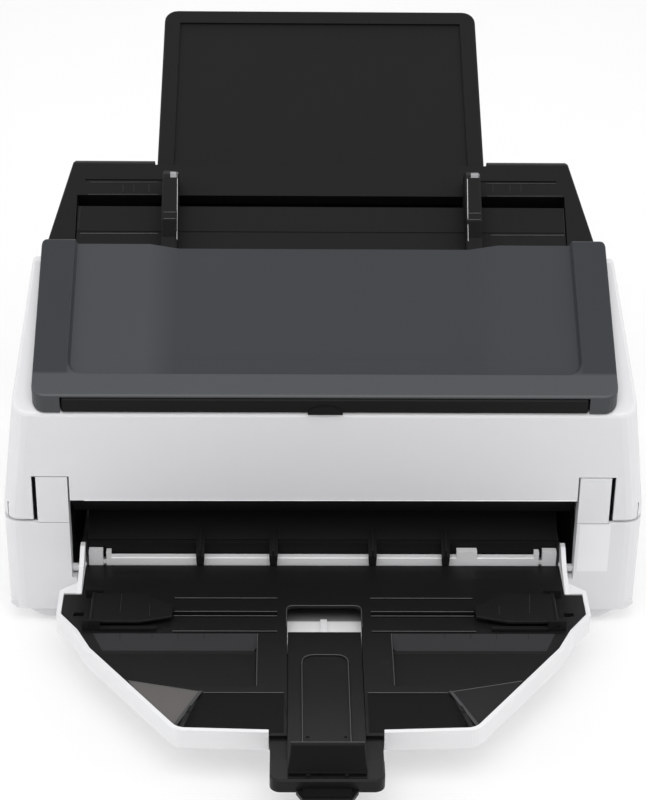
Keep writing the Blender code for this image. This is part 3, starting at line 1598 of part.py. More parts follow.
def bed_outline():
    """Right-hand half of the tray's inner outline and its mirror image, in front of the pins."""
    half = [(tray_rear_half_width, tray_rear), (tray_rear_half_width, -tray_wing_rear),
            (tray_wing_half_width, -tray_wing_rear), (tray_wing_half_width, -tray_wing_front),
            (tray_knee_half_width, -tray_knee_place), (tray_bend_half_width, -tray_bend_place),
            (tray_front_half_width, -tray_front_place), (carrier_half_width, -tray_front_place - tray_bow)]
    left = [(-x, y) for x, y in reversed(half)]
    return rounded(half + left, {6: tray_front_corner, 9: tray_front_corner})


def tray_outline(distance):
    return grown(bed_outline(), distance)


def build_stacker_tray():
    """White tray: floor, rim, the opening for the extension, and the two arms with their pins."""
    rim = bed_gap + tray_wall
    low_ring = [(x, y, -tray_depth) for x, y in tray_outline(rim - tray_undercut)]
    high_ring = [(x, y, -tray_depth + tray_undercut_height) for x, y in tray_outline(rim)]
    top_ring = [(x, y, tray_rim_rise) for x, y in tray_outline(rim)]
    tray = stacked([low_ring, high_ring, top_ring])
    cut(tray, plan_prism(tray_outline(bed_gap), -tray_depth + tray_floor, overrun))
    cut(tray, block(-carrier_half_width - running_gap, carrier_half_width + running_gap,
                    -tray_front_place - overrun, -tray_front_place + overrun / 2, -tray_depth + tray_floor
                    + bed_gap / 2, overrun))
    ridge = block(-ridge_half_width, ridge_half_width, -window_front, -window_rear,
                  -tray_depth + tray_floor / 2, -tray_depth + tray_floor + ridge_height)
    join(tray, ridge)
    arm_profile = [(arm_rear, -tray_depth + tray_undercut_height), (arm_rear, arm_height - arm_round),
                   (arm_rear - arm_round, arm_height), (-arm_round, arm_height),
                   (-arm_front, arm_height * arm_share),
                   (-arm_foot_front, tray_rim_rise), (-arm_foot_front, -tray_depth + tray_undercut_height)]
    cut(tray, block(-tray_rear_half_width, tray_rear_half_width, tray_rear + bed_gap / 2,
                    tray_rear + rim + overrun,
                    -rear_wall_drop, overrun))
    arm_inner = tray_rear_half_width + bed_gap * 2
    wing_rear = tray_wing_rear - rim
    gusset = [(arm_inner, -gusset_rear), (arm_outer, -gusset_corner),
              (tray_wing_half_width + rim, -wing_rear),
              (arm_inner, -wing_rear - rim / 2)]
    for sign in (-1, 1):
        left, right = sorted((sign * arm_inner, sign * arm_outer))
        arm = side_prism(arm_profile, left, right)
        lean = Matrix.Identity(4)
        lean[0][2] = -sign * arm_lean / arm_height
        arm.data.transform(lean)
        join(tray, arm)
        join(tray, plan_prism([(sign * x, y) for x, y in gusset], -tray_depth + tray_undercut_height,
                              tray_rim_rise))
        left, right = sorted((sign * (arm_outer - bed_gap), sign * stacker_pin_outer))
        join(tray, bar(left, right, 0, 0, stacker_pin_radius, small_round_sides))
    place(tray, "stacker_tray", "stacker", "white_plastic", tray_frame())


def facet_cutters(sign):
    """Two wedges that slope the tray's front: a dark main facet and a lighter outer one."""
    inner = [(facet_inner, facet_rear), (facet_middle, facet_rear), (facet_middle_front, facet_front),
             (facet_inner_front, facet_front)]
    outer = [(facet_middle + facet_ledge, facet_rear), (facet_outer, facet_outer_rear),
             (facet_outer * facet_reach_share, facet_front),
             (facet_middle_front + facet_ledge, facet_front)]
    cutters = []
    for corners, drops in ((inner, (facet_start_drop, facet_start_drop, facet_depth, facet_depth)),
                           (outer, (facet_start_drop, facet_start_drop, facet_depth, facet_depth))):
        low = [(sign * x, -t, -drop) for (x, t), drop in zip(corners, drops)]
        high = [(sign * x, -t, overrun) for x, t in corners]
        cutters.append(loft(low, high))
    return cutters


def panel_cutter(sign):
    """Sunken panel in front of the rails, whose rear wall slopes down to its floor."""
    outer = tray_wing_half_width
    low = [(panel_inner + panel_wall_draft, panel_middle), (outer, panel_middle), (outer, panel_front
           - panel_wall_draft), (panel_inner + panel_wall_draft, panel_front - panel_wall_draft)]
    high = [(panel_inner, panel_rear), (outer, panel_rear), (outer, panel_front),
            (panel_inner, panel_front)]
    rings = [[(sign * x, -t, -panel_depth) for x, t in low], [(sign * x, -t, 0) for x, t in high],
             [(sign * x, -t, overrun) for x, t in high]]
    return stacked(rings)


def build_stacker_bed():
    """Black inner bed: rails, groove, marked panels, sloping facets and the channel in its middle."""
    bed = plan_prism(bed_outline(), -bed_thickness, 0)
    front_block = plan_prism(grown(bed_outline(), -bed_gap), -bed_front_thickness, -bed_thickness / 2)
    cut(front_block, block(-half_width, half_width, -panel_rear + facet_ledge, overrun, -overrun, overrun))
    join(bed, front_block)
    channel = rounded([(-channel_half_width, -tray_front_place - overrun),
                       (channel_half_width, -tray_front_place - overrun),
                       (channel_half_width, -window_rear),
                       (-channel_half_width, -window_rear)], {2: window_corner, 3: window_corner})
    cut(bed, plan_prism(channel, -overrun, overrun))
    for sign in (-1, 1):
        cut(bed, *facet_cutters(sign))
        left, right = sorted((sign * rail_half_inner, sign * slider_slot_outer))
        cut(bed, block(left, right, -rail_groove_place - rail_groove_width / 2,
                       -rail_groove_place + rail_groove_width / 2, -overrun, overrun))
        left, right = sorted((sign * rail_half_inner, sign * rail_half_outer))
        groove_edge = rail_groove_width / 2 + rail_width / 2
        for t in (rail_place, rail_groove_place - groove_edge, rail_groove_place + groove_edge,
                  rail_front_place):
            join(bed, block(left, right, -t - rail_width / 2, -t + rail_width / 2, -bed_thickness / 2,
                            rail_height))
        cut(bed, panel_cutter(sign))
    place(bed, "stacker_bed", "stacker", "black_plastic", tray_frame())


def build_stacker_extension():
    """Sliding extension: a shallow body under the bed with a raised plate that fills the channel."""
    top = -bed_front_thickness - bed_gap
    bottom = -tray_depth + tray_floor + bed_gap
    plan = rounded([(carrier_half_width, -carrier_rear), (carrier_half_width, -carrier_front),
                    (-carrier_half_width, -carrier_front), (-carrier_half_width, -carrier_rear)],
                   {1: carrier_corner, 2: carrier_corner})
    body = plan_prism(plan, bottom, -front_wall_sink)
    soften(body, edge_radius)
    change_in_place(body)
    cut(body, block(-half_width, half_width, -carrier_front + front_wall_depth, overrun, top, overrun))
    raised_half = channel_half_width - bed_gap
    raised = block(-raised_half, raised_half, -stopper_place - stopper_thickness, -extension_plate_rear,
                   top - extension_plate_thickness, -extension_plate_sink)
    cut(raised, block(-raised_half - overrun, raised_half + overrun, -carrier_rear + overrun / 4,
                      -extension_plate_rear + overrun, -overrun * 2,
                      -extension_plate_sink - extension_plate_thickness))
    join(body, raised)
    shelf = block(-raised_half, raised_half, -carrier_rear - overrun / 2, -extension_plate_rear,
                  -extension_plate_sink - extension_plate_thickness, -extension_plate_sink)
    join(body, shelf)
    tongue_plan = rounded([(tongue_half_width, -tongue_rear), (tongue_half_width, -tongue_front),
                           (-tongue_half_width, -tongue_front), (-tongue_half_width, -tongue_rear)],
                          {0: tongue_corner, 3: tongue_corner})
    well = plan_prism(grown(tongue_plan, tongue_groove), -extension_plate_sink - tongue_groove_depth,
                      overrun)
    cut(well, plan_prism(tongue_plan, -overrun, overrun * 2))
    cut(body, well)
    tongue = plan_prism(tongue_plan, -extension_plate_sink - extension_plate_thickness / 2,
                        -extension_plate_sink + tongue_height)
    cut(tongue, plan_prism(grown(tongue_plan, -tongue_rim), -extension_plate_sink, overrun))
    join(body, tongue)
    for sign in (-1, 1):
        left, right = sorted((sign * (tongue_half_width - tongue_slot_width),
                              sign * (tongue_half_width - tongue_slot_width * 2)))
        cut(body, block(left, right, -tongue_front + running_gap - overrun / 2, -tongue_slot_rear,
                        -extension_plate_sink - tongue_height, overrun))
    ridge_room = ridge_half_width + bed_gap
    cut(body, block(-ridge_room, ridge_room, -carrier_rear - carrier_travel_in, -carrier_rear + overrun,
                    bottom - overrun, bottom + ridge_height + bed_gap))
    pocket_half = pull_tip_half_width + slider_gap
    cut(body, block(-pocket_half, pocket_half, -carrier_front - overrun, -pull_rear + pull_travel_room,
                    bottom + pull_wall - slider_gap, bottom + pull_wall + pull_height + slider_gap))
    place(body, "stacker_extension", "stacker_extension", "black_plastic", tray_frame())


def build_pull():
    """Second slide under the extension, whose front lip is its pull."""
    bottom = -tray_depth + tray_floor + bed_gap
    bar_shape = block(-pull_tip_half_width, pull_tip_half_width, -pull_front + pull_wall, -pull_rear,
                      bottom + pull_wall, bottom + pull_wall + pull_height)
    lip_plan = [(-pull_half_width, -carrier_front - running_gap), (-pull_tip_half_width, -pull_front),
                (pull_tip_half_width, -pull_front), (pull_half_width, -carrier_front - running_gap)]
    lip = plan_prism(lip_plan, bottom, bottom + pull_lip_height)
    join(bar_shape, lip)
    place(bar_shape, "extension_pull", "extension_pull", "black_plastic", tray_frame())


def stopper_axis_height():
    """Height of the stopper's hinge line, whose barrel lies on the extension's raised plate."""
    return -extension_plate_sink + slider_gap + stopper_barrel_radius


def build_stopper():
    """Plate that stands at the extension's front and folds back onto it."""
    frame = tray_frame() @ Matrix.Translation((0, -stopper_place, stopper_axis_height()))
    face = [(-stopper_half_width, 0), (stopper_half_width, 0), (stopper_top_half_width, stopper_height),
            (-stopper_top_half_width, stopper_height)]
    plate = front_prism(face, -stopper_thickness / 2, stopper_thickness / 2)
    soften(plate, edge_radius / 2)
    change_in_place(plate)
    join(plate, bar(-stopper_half_width, stopper_half_width, 0, 0, stopper_barrel_radius,
                    small_round_sides))
    place(plate, "sheet_stopper", "stopper", "black_plastic", frame)


def build_sliders():
    """Carriages of the stacker's side guides and the paddles that fold down onto the bed."""
    for side, sign in (("right", 1), ("left", -1)):
        slider = slider_shape()
        paddle = paddle_shape()
        if sign < 0:
            slider = flipped(slider)
            paddle = flipped(paddle)
        place(slider, "stacker_guide_slider_" + side, "slider_" + side, "black_plastic", tray_frame())
        frame = tray_frame() @ Matrix.Translation((sign * paddle_hinge, 0, paddle_height))
        place(paddle, "stacker_guide_paddle_" + side, "paddle_" + side, "black_plastic", frame)


def slider_shape():
    """Carriage at the right: a key in the bed's groove, a foot bar and two hinge ears."""
    low, high = paddle_hinge - slider_half_width, paddle_hinge + slider_half_width
    slider = block(low, high, -paddle_front - slider_bracket_width, -paddle_rear + slider_bracket_width,
                   slider_gap, slider_gap + slider_height)
    key = block(low + slider_gap, high - slider_gap,
                -rail_groove_place - rail_groove_width / 2 + slider_gap,
                -rail_groove_place + rail_groove_width / 2 - slider_gap, -bed_thickness - slider_gap,
                slider_gap + slider_height / 2)
    join(slider, key)
    foot = block(paddle_hinge - slider_foot_length, low + slider_gap,
                 -slider_foot_place - slider_foot_width,
                 -slider_foot_place, slider_gap, slider_gap + slider_height * 2)
    join(slider, foot)
    for front in (-paddle_front - slider_bracket_width, -paddle_rear + slider_gap):
        ear = block(low, high, front, front + slider_bracket_width - slider_gap, slider_gap,
                    paddle_height + paddle_pin_radius * 2)
        hole = bar(front - overrun, front + overrun, 0, 0, paddle_pin_radius + slider_gap,
                   small_round_sides)
        hole.data.transform(Matrix.Translation((paddle_hinge, 0, paddle_height))
                            @ Matrix.Rotation(math.pi / 2, 4, "Z"))
        cut(ear, hole)
        join(slider, ear)
    return slider


def paddle_shape():
    """Right paddle, folded inwards from its hinge line, with its pin ends in the carriage's ears."""
    reach = paddle_hinge - paddle_tip
    plan = [(0, -paddle_front + slider_gap), (0, -paddle_rear),
            (-reach * paddle_square_share, -paddle_rear), (-reach * paddle_slope_share, -paddle_rear_tip),
            (-reach, -paddle_tip_rear), (-reach, -paddle_tip_front),
            (-reach * paddle_swell_share, -paddle_front + slider_gap)]
    paddle = plan_prism(plan, -paddle_thickness / 2, paddle_thickness / 2)
    soften(paddle, paddle_thickness / 5)
    change_in_place(paddle)
    pin = bar(paddle_rear - slider_bracket_width + slider_gap * 2,
              paddle_front + slider_bracket_width - slider_gap,
              0, 0, paddle_pin_radius, small_round_sides)
    pin.data.transform(Matrix.Rotation(-math.pi / 2, 4, "Z"))
    join(paddle, pin)
    return paddle


def turn_place(depth, height, x=0):
    return Matrix.Translation((x, depth, height))


def make_bodies():
    """Tree of moving bodies, each with its joint's place in the machine."""
    front = tray_frame().translation.y - pull_front
    rear = path_point(extension_tip, edge_radius - extension_sink - extension_thickness)[0]
    add_body("machine", None, Matrix.Translation((0, -(front + rear) / 2, 0)))
    bodies["base"] = bodies["machine"]
    body_places["base"] = body_places["machine"]
    add_body("cover", "base", turn_place(hinge_depth, hinge_height))
    add_body("release_bar", "cover",
             turn_place(release_depth, cover_line(release_depth, cover_thickness) + release_lift))
    add_body("eject_pinch", "cover", path_place(eject_place, path_gap + pinch_tyre_radius))
    add_body("feed_pinch", "cover", path_place(feed_place, path_gap + pinch_tyre_radius))
    add_body("separator_roller", "cover", path_place(separator_place, path_gap + separator_radius))
    add_body("pick_rollers", "cover", path_place(pick_place, pick_height))
    add_body("eject_roller", "base", path_place(eject_place, -lower_tyre_radius))
    add_body("feed_roller", "base", path_place(feed_place, -lower_tyre_radius))
    add_body("brake_roller", "base", path_place(separator_place, -brake_radius))
    add_body("motor_pulley", "base", turn_place(motor_depth, motor_height))
    add_body("power_switch", "base", switch_place_matrix())
    add_body("table", "base", path_frame())
    add_body("guide_right", "table", path_frame())
    add_body("guide_left", "table", path_frame())
    add_body("pinion", "table", path_place(pinion_place, 0))
    add_body("extension", "base", path_frame())
    add_body("stacker", "base", tray_frame())
    for side, sign in (("right", 1), ("left", -1)):
        add_body("slider_" + side, "stacker", tray_frame())
        add_body("paddle_" + side, "slider_" + side,
                 tray_frame() @ Matrix.Translation((sign * paddle_hinge, 0, paddle_height)))
    add_body("stacker_extension", "stacker", tray_frame())
    add_body("extension_pull", "stacker_extension", tray_frame())
    add_body("stopper", "stacker_extension",
             tray_frame() @ Matrix.Translation((0, -stopper_place, stopper_axis_height())))


def main():
    for leftover in list(bpy.data.objects):
        bpy.data.objects.remove(leftover)
    make_materials()
    make_bodies()
    build_pan()
    build_feet()
    build_side_covers()
    build_rear_cover()
    build_front_cover()
    build_side_frames()
    build_hinge_pins()
    build_lower_guide()
    build_exit_bar()
    build_scan_units()
    build_drive()
    build_electronics()
    build_switch()
    build_hopper_frame()
    build_hopper_table()
    build_hopper_extension()
    build_side_guides()
    build_pinion()
    build_cover_shell()
    build_top_cover()
    build_release_bar()
    build_upper_frame()
    build_upper_rollers()
    build_stacker_tray()
    build_stacker_bed()
    build_stacker_extension()
    build_pull()
    build_stopper()
    build_sliders()


main()
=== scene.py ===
"""Looks of the document scanner: finishes, small trim, light and camera.

Metres, +Z up, -Y towards the user.
"""

import functools
import json
import math

import bpy
from mathutils import Matrix, Vector
from mathutils.bvhtree import BVHTree


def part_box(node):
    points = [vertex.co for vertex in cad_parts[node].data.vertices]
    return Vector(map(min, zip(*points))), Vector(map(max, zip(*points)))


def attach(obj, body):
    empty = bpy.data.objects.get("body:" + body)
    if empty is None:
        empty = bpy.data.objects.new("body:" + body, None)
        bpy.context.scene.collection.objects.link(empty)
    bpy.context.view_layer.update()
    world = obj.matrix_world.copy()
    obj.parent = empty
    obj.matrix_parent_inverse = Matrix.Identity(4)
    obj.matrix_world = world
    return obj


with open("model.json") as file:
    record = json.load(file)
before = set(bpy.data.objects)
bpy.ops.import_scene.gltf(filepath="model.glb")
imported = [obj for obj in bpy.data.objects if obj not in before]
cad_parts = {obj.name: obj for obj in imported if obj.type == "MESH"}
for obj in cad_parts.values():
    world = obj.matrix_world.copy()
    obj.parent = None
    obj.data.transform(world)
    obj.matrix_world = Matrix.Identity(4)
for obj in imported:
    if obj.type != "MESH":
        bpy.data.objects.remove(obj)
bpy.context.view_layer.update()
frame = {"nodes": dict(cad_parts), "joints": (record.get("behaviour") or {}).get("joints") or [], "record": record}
nodes = frame["nodes"]

# Places and directions shared with the frame

joints = {joint["name"]: joint for joint in frame["joints"]}
front_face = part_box("side_cover_left")[0][1]
tray_axis = Vector(joints["stacker_fold"]["pos_m"])
sides = {"left": -1, "right": 1}
down = Vector((0, 0, -1))
rearward = Vector((0, 1, 0))

# Camera, worked out from the photograph; the photograph's size and the shift are in pixels

photo_width = 647
photo_height = 800
matrix_size = 4
camera_tilt = math.radians(30)
camera_turn = math.radians(1.147)
camera_roll = math.radians(0.75)
target_height = 0.0945
target_distance = 1.5
target_drop = 0.0726
lens_length = 100.4
sensor_height = 36.0
shift_pixels = -1.9
shift_across = shift_pixels / photo_height

# Light: strength of the world, and each lamp's place, aim, size and power

world_strength = 0.52
plain_white = (1, 1, 1, 1)
lamps = {
    "key": ((0.0, -0.9, 1.7), (0, 0.05, 0.1), (1.8, 1.2), 19.0),
    "fill_left": ((-1.6, -0.3, 0.9), (0, 0, 0.1), (1.2, 1.2), 7.0),
    "fill_right": ((1.6, -0.3, 0.9), (0, 0, 0.1), (1.2, 1.2), 7.0),
    "back": ((0.0, 1.5, 1.4), (0, 0.1, 0.15), (1.6, 0.8), 8.0),
}

# Floor

floor_half = 6.0
floor_colour = (0.92, 0.92, 0.92)
floor_rough = 0.6
floor_glow_share = 0.5

# Sizes of the small trim: thickness, reach and lift

fine_edge = 0.00026
hair_edge = fine_edge / 2
skin_reach = 0.008
skin_lift = 0.00008
mark_lift = 2 * skin_lift

# Trim of the stacker, across from its middle and forward of its pivots

rail_places = (0.0380, 0.0535, 0.0585, 0.0757)
rail_inner = 0.0312
rail_outer = 0.1000
rail_height = 0.0008
panel_inner = 0.0440
panel_rear = 0.0775
panel_front = 0.1335
band_front = 0.0920
band_outer_rear = 0.1520
band_outer_front = 0.1450
facet_inner = 0.0265
facet_bend = 0.0778
facet_rear = 0.1405
facet_foot = 0.0945
facet_front = 0.1755
wing_bend = 0.0802
wing_rear = 0.1293
wing_outer = 0.1255
wing_corner = 0.0992
wing_foot = 0.0970
wing_front = 0.1740
wing_lift = 0.0008
wing_fall = 0.0038
ridge_lift = 0.0015
tick_places = (0.0789, 0.0959, 0.1129, 0.1339)
tick_width = 0.0004
tick_length = 0.0045
window_half = 0.0250
window_rear = 0.0455
window_front = 0.0700
window_corner = 0.0050
shade_half = 0.0300
shade_rear = 0.0180
shade_front = 0.0600
shade_depth = 0.0114
tongue_half = 0.0150
tongue_rear = 0.0995
tongue_front = 0.2140
tongue_corner = 0.0085
tongue_sink = -0.0006
stopper_half = 0.0222

# Bare plate on the right pillar

label_inner = 0.1735
label_outer = 0.1945
label_bottom = 0.0435
label_top = 0.0812

# Steps of the skins, across and along, and of the lines and arcs

band_steps = (48, 12)
tick_steps = (1, 6)
wing_steps = (60, 60)
facet_steps = (24, 24)
ridge_steps = (4, 60)
shade_steps = (20, 14)
label_steps = (8, 12)
cap_steps = (8, 8)
line_steps = 8
lip_steps = 24
arc_steps = 6

# Places read off the photograph, as pixels across and rows down

guide_caps = {"left": ((170.3, 171.6), (178.4, 177.4)), "right": ((470.9, 172.6), (479.6, 177.8))}
guide_lines = {"left": (163.6, 177.6, 212.1), "right": (467.2, 480.6, 213.2)}
guide_line_count = 2
guide_line_step = 6.4
guide_liners = {"left": ((177.4, 178.5), (176.9, 240.0)), "right": ((467.4, 179.0), (468.2, 241.0))}
table_lines = {"left": ((80.0, 233.4), (158.0, 233.4)), "right": ((491.0, 235.2), (564.0, 235.2))}
table_sides = {"left": ((80.3, 207.0), (77.8, 235.0)), "right": ((563.2, 209.5), (564.6, 236.0))}
slot_lines = {"left": ((88.0, 194.4), (158.0, 194.4)), "right": ((487.0, 196.2), (562.0, 196.2))}
shoulder_lines = {"left": ((90.0, 182.2), (158.0, 182.2)), "right": ((486.0, 183.6), (556.0, 183.6))}
shoulder_ticks = {"left": (123.0, 134.0, 149.0), "right": (493.0, 510.0, 521.0)}
shoulder_tick_rows = (184.5, 191.5)
paddle_lines = {"left": (((122.0, 594.0), (120.0, 612.0)), ((149.6, 604.0), (149.6, 616.0))),
                "right": (((529.6, 594.0), (529.6, 613.0)), ((499.3, 606.0), (499.3, 614.0)))}
shell_lip = ((84.0, 500.4), (575.0, 500.8))

# Sheen of the top cover, by place: partly real polish, partly painted reflection, stronger in the left well than
# the right

well_inner = 0.099
well_outer = 0.119
frame_inner = 0.1685
frame_outer = 0.1705
strip_front = -0.0800
strip_rear = -0.0780
middle_sheen = 0.165
# Left well shinier than the right: painted reflection
left_well_sheen = 0.33
right_well_sheen = 0.20
frame_sheen = 0.115
strip_sheen = 0.46

# Painted shade on the tray's floor under the window: lightness by share of its depth

window_shades = ((0.15, 0.022), (0.64, 0.17), (0.68, 0.80))
window_rough = 0.5

# Moulded finishes: colour, roughness, its swing, grain per metre, grain height, mottle and specular level

moulded_looks = {
    "white_plastic": ((0.70, 0.70, 0.715), 0.46, 0.05, 1900.0, 0.00006, 0.012, 0.5),
    "cover_plastic": ((0.034, 0.0365, 0.041), 0.42, 0.05, 1500.0, 0.00010, 0.05, 0.22),
    "top_cover_plastic": ((0.034, 0.0365, 0.041), 0.42, 0.05, 1500.0, 0.00010, 0.05, 0.5),
    "black_plastic": ((0.0085, 0.0085, 0.0088), 0.50, 0.06, 1500.0, 0.00010, 0.08, 0.10),
    "bed_plastic": ((0.0088, 0.0088, 0.0091), 0.38, 0.06, 1500.0, 0.00008, 0.08, 0.14),
    # Light grey beads on black edges: a painted highlight along each edge
    "painted_edge_highlight": ((0.085, 0.085, 0.082), 0.30, 0.04, 1500.0, 0.00003, 0.08, 0.4),
    # Dark grey fine lines: a dimmer painted highlight along edges, and the faint marks on the hopper's shoulders
    "dim_highlight_and_mark": ((0.045, 0.045, 0.046), 0.34, 0.04, 1500.0, 0.00003, 0.08, 0.25),
    "liner_film": ((0.62, 0.62, 0.62), 0.40, 0.04, 1500.0, 0.00002, 0.02, 0.3),
    # Blacker and duller than the bed: painted shade on the sloped facets and the stopper's front
    "facet_painted_shade": ((0.0062, 0.0062, 0.0064), 0.40, 0.05, 1500.0, 0.00006, 0.08, 0.06),
    # Whiter than the white plastic: painted highlight along the shell's lower lip
    "lip_painted_highlight": ((0.88, 0.88, 0.88), 0.36, 0.04, 1900.0, 0.00003, 0.01, 0.5),
    "tray_plastic": ((0.765, 0.765, 0.775), 0.46, 0.05, 1900.0, 0.00006, 0.012, 0.5),
    # Lighter than the bed: painted light on the band's sloped wall
    "band_painted_light": ((0.030, 0.030, 0.032), 0.40, 0.05, 1500.0, 0.00006, 0.06, 0.12),
    # Left outer wing: painted light, much lighter than the bed
    "wing_painted_light": ((0.105, 0.098, 0.096), 0.34, 0.05, 1500.0, 0.00006, 0.05, 0.2),
    # Right outer wing: painted shade, darker than the left
    "wing_painted_shade": ((0.014, 0.014, 0.0145), 0.38, 0.05, 1500.0, 0.00006, 0.06, 0.12),
    # Grey strip on a black crease: painted highlight along the ridge
    "ridge_painted_highlight": ((0.050, 0.050, 0.052), 0.34, 0.05, 1500.0, 0.00005, 0.06, 0.2),
    "mark_ink": ((0.012, 0.012, 0.013), 0.55, 0.05, 1500.0, 0.00002, 0.05, 0.1),
    "cap_plastic": ((0.26, 0.26, 0.27), 0.42, 0.05, 1600.0, 0.00005, 0.04, 0.3),
    "label_film": ((0.80, 0.80, 0.81), 0.36, 0.04, 900.0, 0.00002, 0.01, 0.4),
    # Whiter than the white plastic: painted light on the exit strip, which sits in shade
    "strip_painted_light": ((0.84, 0.84, 0.85), 0.45, 0.05, 1700.0, 0.00006, 0.03, 0.5),
    "rubber": ((0.022, 0.022, 0.023), 0.78, 0.08, 1400.0, 0.00012, 0.10, 0.35),
    "roller_rubber": ((0.10, 0.10, 0.11), 0.78, 0.08, 1400.0, 0.00012, 0.10, 0.35),
}

# Textures of the moulded finishes

grain_detail = 4.0
grain_rough = 0.6
cell_share = 0.7
broad_scale = 9.0
broad_detail = 3.0
broad_rough = 0.55
bump_strength = 0.35

# Metal: roughness and stretch of the lines by finish, then the lines and how much they change

metal_looks = {"steel": (0.30, (1.0, 18.0, 18.0)), "plated_sheet": (0.38, (14.0, 1.0, 1.0))}
metal_colour = (0.62, 0.62, 0.61)
metal_scale = 60.0
metal_detail = 5.0
metal_line_rough = 0.65
metal_dark_share = 0.86
metal_light_share = 1.08
metal_smooth_swing = 0.08
metal_rough_swing = 0.10

# Scan glass

glass_colour = (0.05, 0.08, 0.07)
glass_roughs = (0.02, 0.07)
glass_index = 1.5
glass_coat = 0.4
haze_scale = 30.0
haze_detail = 3.0

# Circuit board

board_colour = (0.015, 0.11, 0.045)
board_dark_share = 0.8
track_colour = (0.05, 0.20, 0.08)
track_scale = 90.0
board_rough = 0.35

# Sockets of the Mix node, by number

mix_colours = (6, 7)
mix_colour_result = 2
mix_numbers = (2, 3)
mix_number_result = 0

# Finishes of the CAD nodes, by material slot and by node

slot_finishes = {
    "white_plastic": "white_plastic", "dark_plastic": "cover_plastic", "black_plastic": "black_plastic",
    # The exit strip is painted whiter to make up for its shade
    "grey_plastic": "strip_painted_light", "rubber": "rubber", "steel": "steel", "glass": "scan_glass",
    "board": "circuit_board",
}
node_finishes = {
    "stacker_tray": "tray_plastic", "stacker_bed": "bed_plastic", "stacker_extension": "bed_plastic",
    # The sheet stopper takes the facets' painted shade
    "extension_pull": "bed_plastic", "sheet_stopper": "facet_painted_shade", "top_cover": "top_cover_plastic",
    "power_supply": "plated_sheet", "usb_socket": "plated_sheet",
    "brake_roller": "roller_rubber", "separator_roller": "roller_rubber",
    "pick_tyre_left": "roller_rubber", "pick_tyre_right": "roller_rubber",
}


# Materials

def new_material(name):
    """Material, its node tree and its shader."""
    material = bpy.data.materials.new(name)
    material.use_nodes = True
    tree = material.node_tree
    return material, tree, tree.nodes["Principled BSDF"]


def add_node(tree, kind, **values):
    """Node with the sockets and settings given by name."""
    node = tree.nodes.new(kind)
    for key, value in values.items():
        if key in node.inputs:
            node.inputs[key].default_value = value
        else:
            setattr(node, key, value)
    return node


def add_noise(tree, scale, detail, rough):
    """Noise texture of one scale."""
    return add_node(tree, "ShaderNodeTexNoise", Scale=scale, Detail=detail, Roughness=rough)


def object_place(tree):
    """Socket with the place on the object."""
    return add_node(tree, "ShaderNodeTexCoord").outputs["Object"]


def map_range(tree, source, limits=(0, 1), values=(0, 1)):
    """Socket that takes the source from its limits to the values."""
    node = add_node(tree, "ShaderNodeMapRange")
    for name, value in zip(("From Min", "From Max", "To Min", "To Max"), (*limits, *values)):
        node.inputs[name].default_value = value
    tree.links.new(source, node.inputs["Value"])
    return node.outputs["Result"]


def vary_colour(tree, shader, source, colours):
    """Base colour that goes from one colour to the other with the source."""
    tone = add_node(tree, "ShaderNodeMix", data_type="RGBA")
    for socket, colour in zip(mix_colours, colours):
        tone.inputs[socket].default_value = (*colour, 1)
    tree.links.new(source, tone.inputs[0])
    tree.links.new(tone.outputs[mix_colour_result], shader.inputs["Base Color"])


def vary_gloss(tree, shader, source, roughs):
    """Roughness that goes from one value to the other with the source."""
    tree.links.new(map_range(tree, source, values=roughs), shader.inputs["Roughness"])


def moulded(name, colour, rough, rough_swing, grain_scale, grain_height, mottle, specular):
    """Moulded plastic or rubber: fine grain, slight colour variation and uneven gloss."""
    material, tree, shader = new_material(name)
    place = object_place(tree)
    grain = add_noise(tree, grain_scale, grain_detail, grain_rough)
    cells = add_node(tree, "ShaderNodeTexVoronoi", Scale=grain_scale * cell_share)
    broad = add_noise(tree, broad_scale, broad_detail, broad_rough)
    for texture in (grain, cells, broad):
        tree.links.new(place, texture.inputs["Vector"])
    height = add_node(tree, "ShaderNodeMath", operation="ADD")
    tree.links.new(grain.outputs["Fac"], height.inputs[0])
    tree.links.new(cells.outputs["Distance"], height.inputs[1])
    bump = add_node(tree, "ShaderNodeBump", Strength=bump_strength, Distance=grain_height)
    tree.links.new(height.outputs[0], bump.inputs["Height"])
    tree.links.new(bump.outputs["Normal"], shader.inputs["Normal"])
    darker = [part * (1 - mottle) for part in colour]
    lighter = [min(1, part * (1 + mottle)) for part in colour]
    vary_colour(tree, shader, broad.outputs["Fac"], (darker, lighter))
    vary_gloss(tree, shader, broad.outputs["Fac"], (rough - rough_swing, rough + rough_swing))
    shader.inputs["Specular IOR Level"].default_value = specular
    return material


def metal(name, rough, stretch):
    """Drawn or rolled metal with fine lines along one axis."""
    material, tree, shader = new_material(name)
    mapping = add_node(tree, "ShaderNodeMapping", Scale=stretch)
    lines = add_noise(tree, metal_scale, metal_detail, metal_line_rough)
    tree.links.new(object_place(tree), mapping.inputs["Vector"])
    tree.links.new(mapping.outputs["Vector"], lines.inputs["Vector"])
    darker = [part * metal_dark_share for part in metal_colour]
    lighter = [min(1, part * metal_light_share) for part in metal_colour]
    vary_colour(tree, shader, lines.outputs["Fac"], (darker, lighter))
    vary_gloss(tree, shader, lines.outputs["Fac"], (rough - metal_smooth_swing, rough + metal_rough_swing))
    shader.inputs["Metallic"].default_value = 1.0
    return material


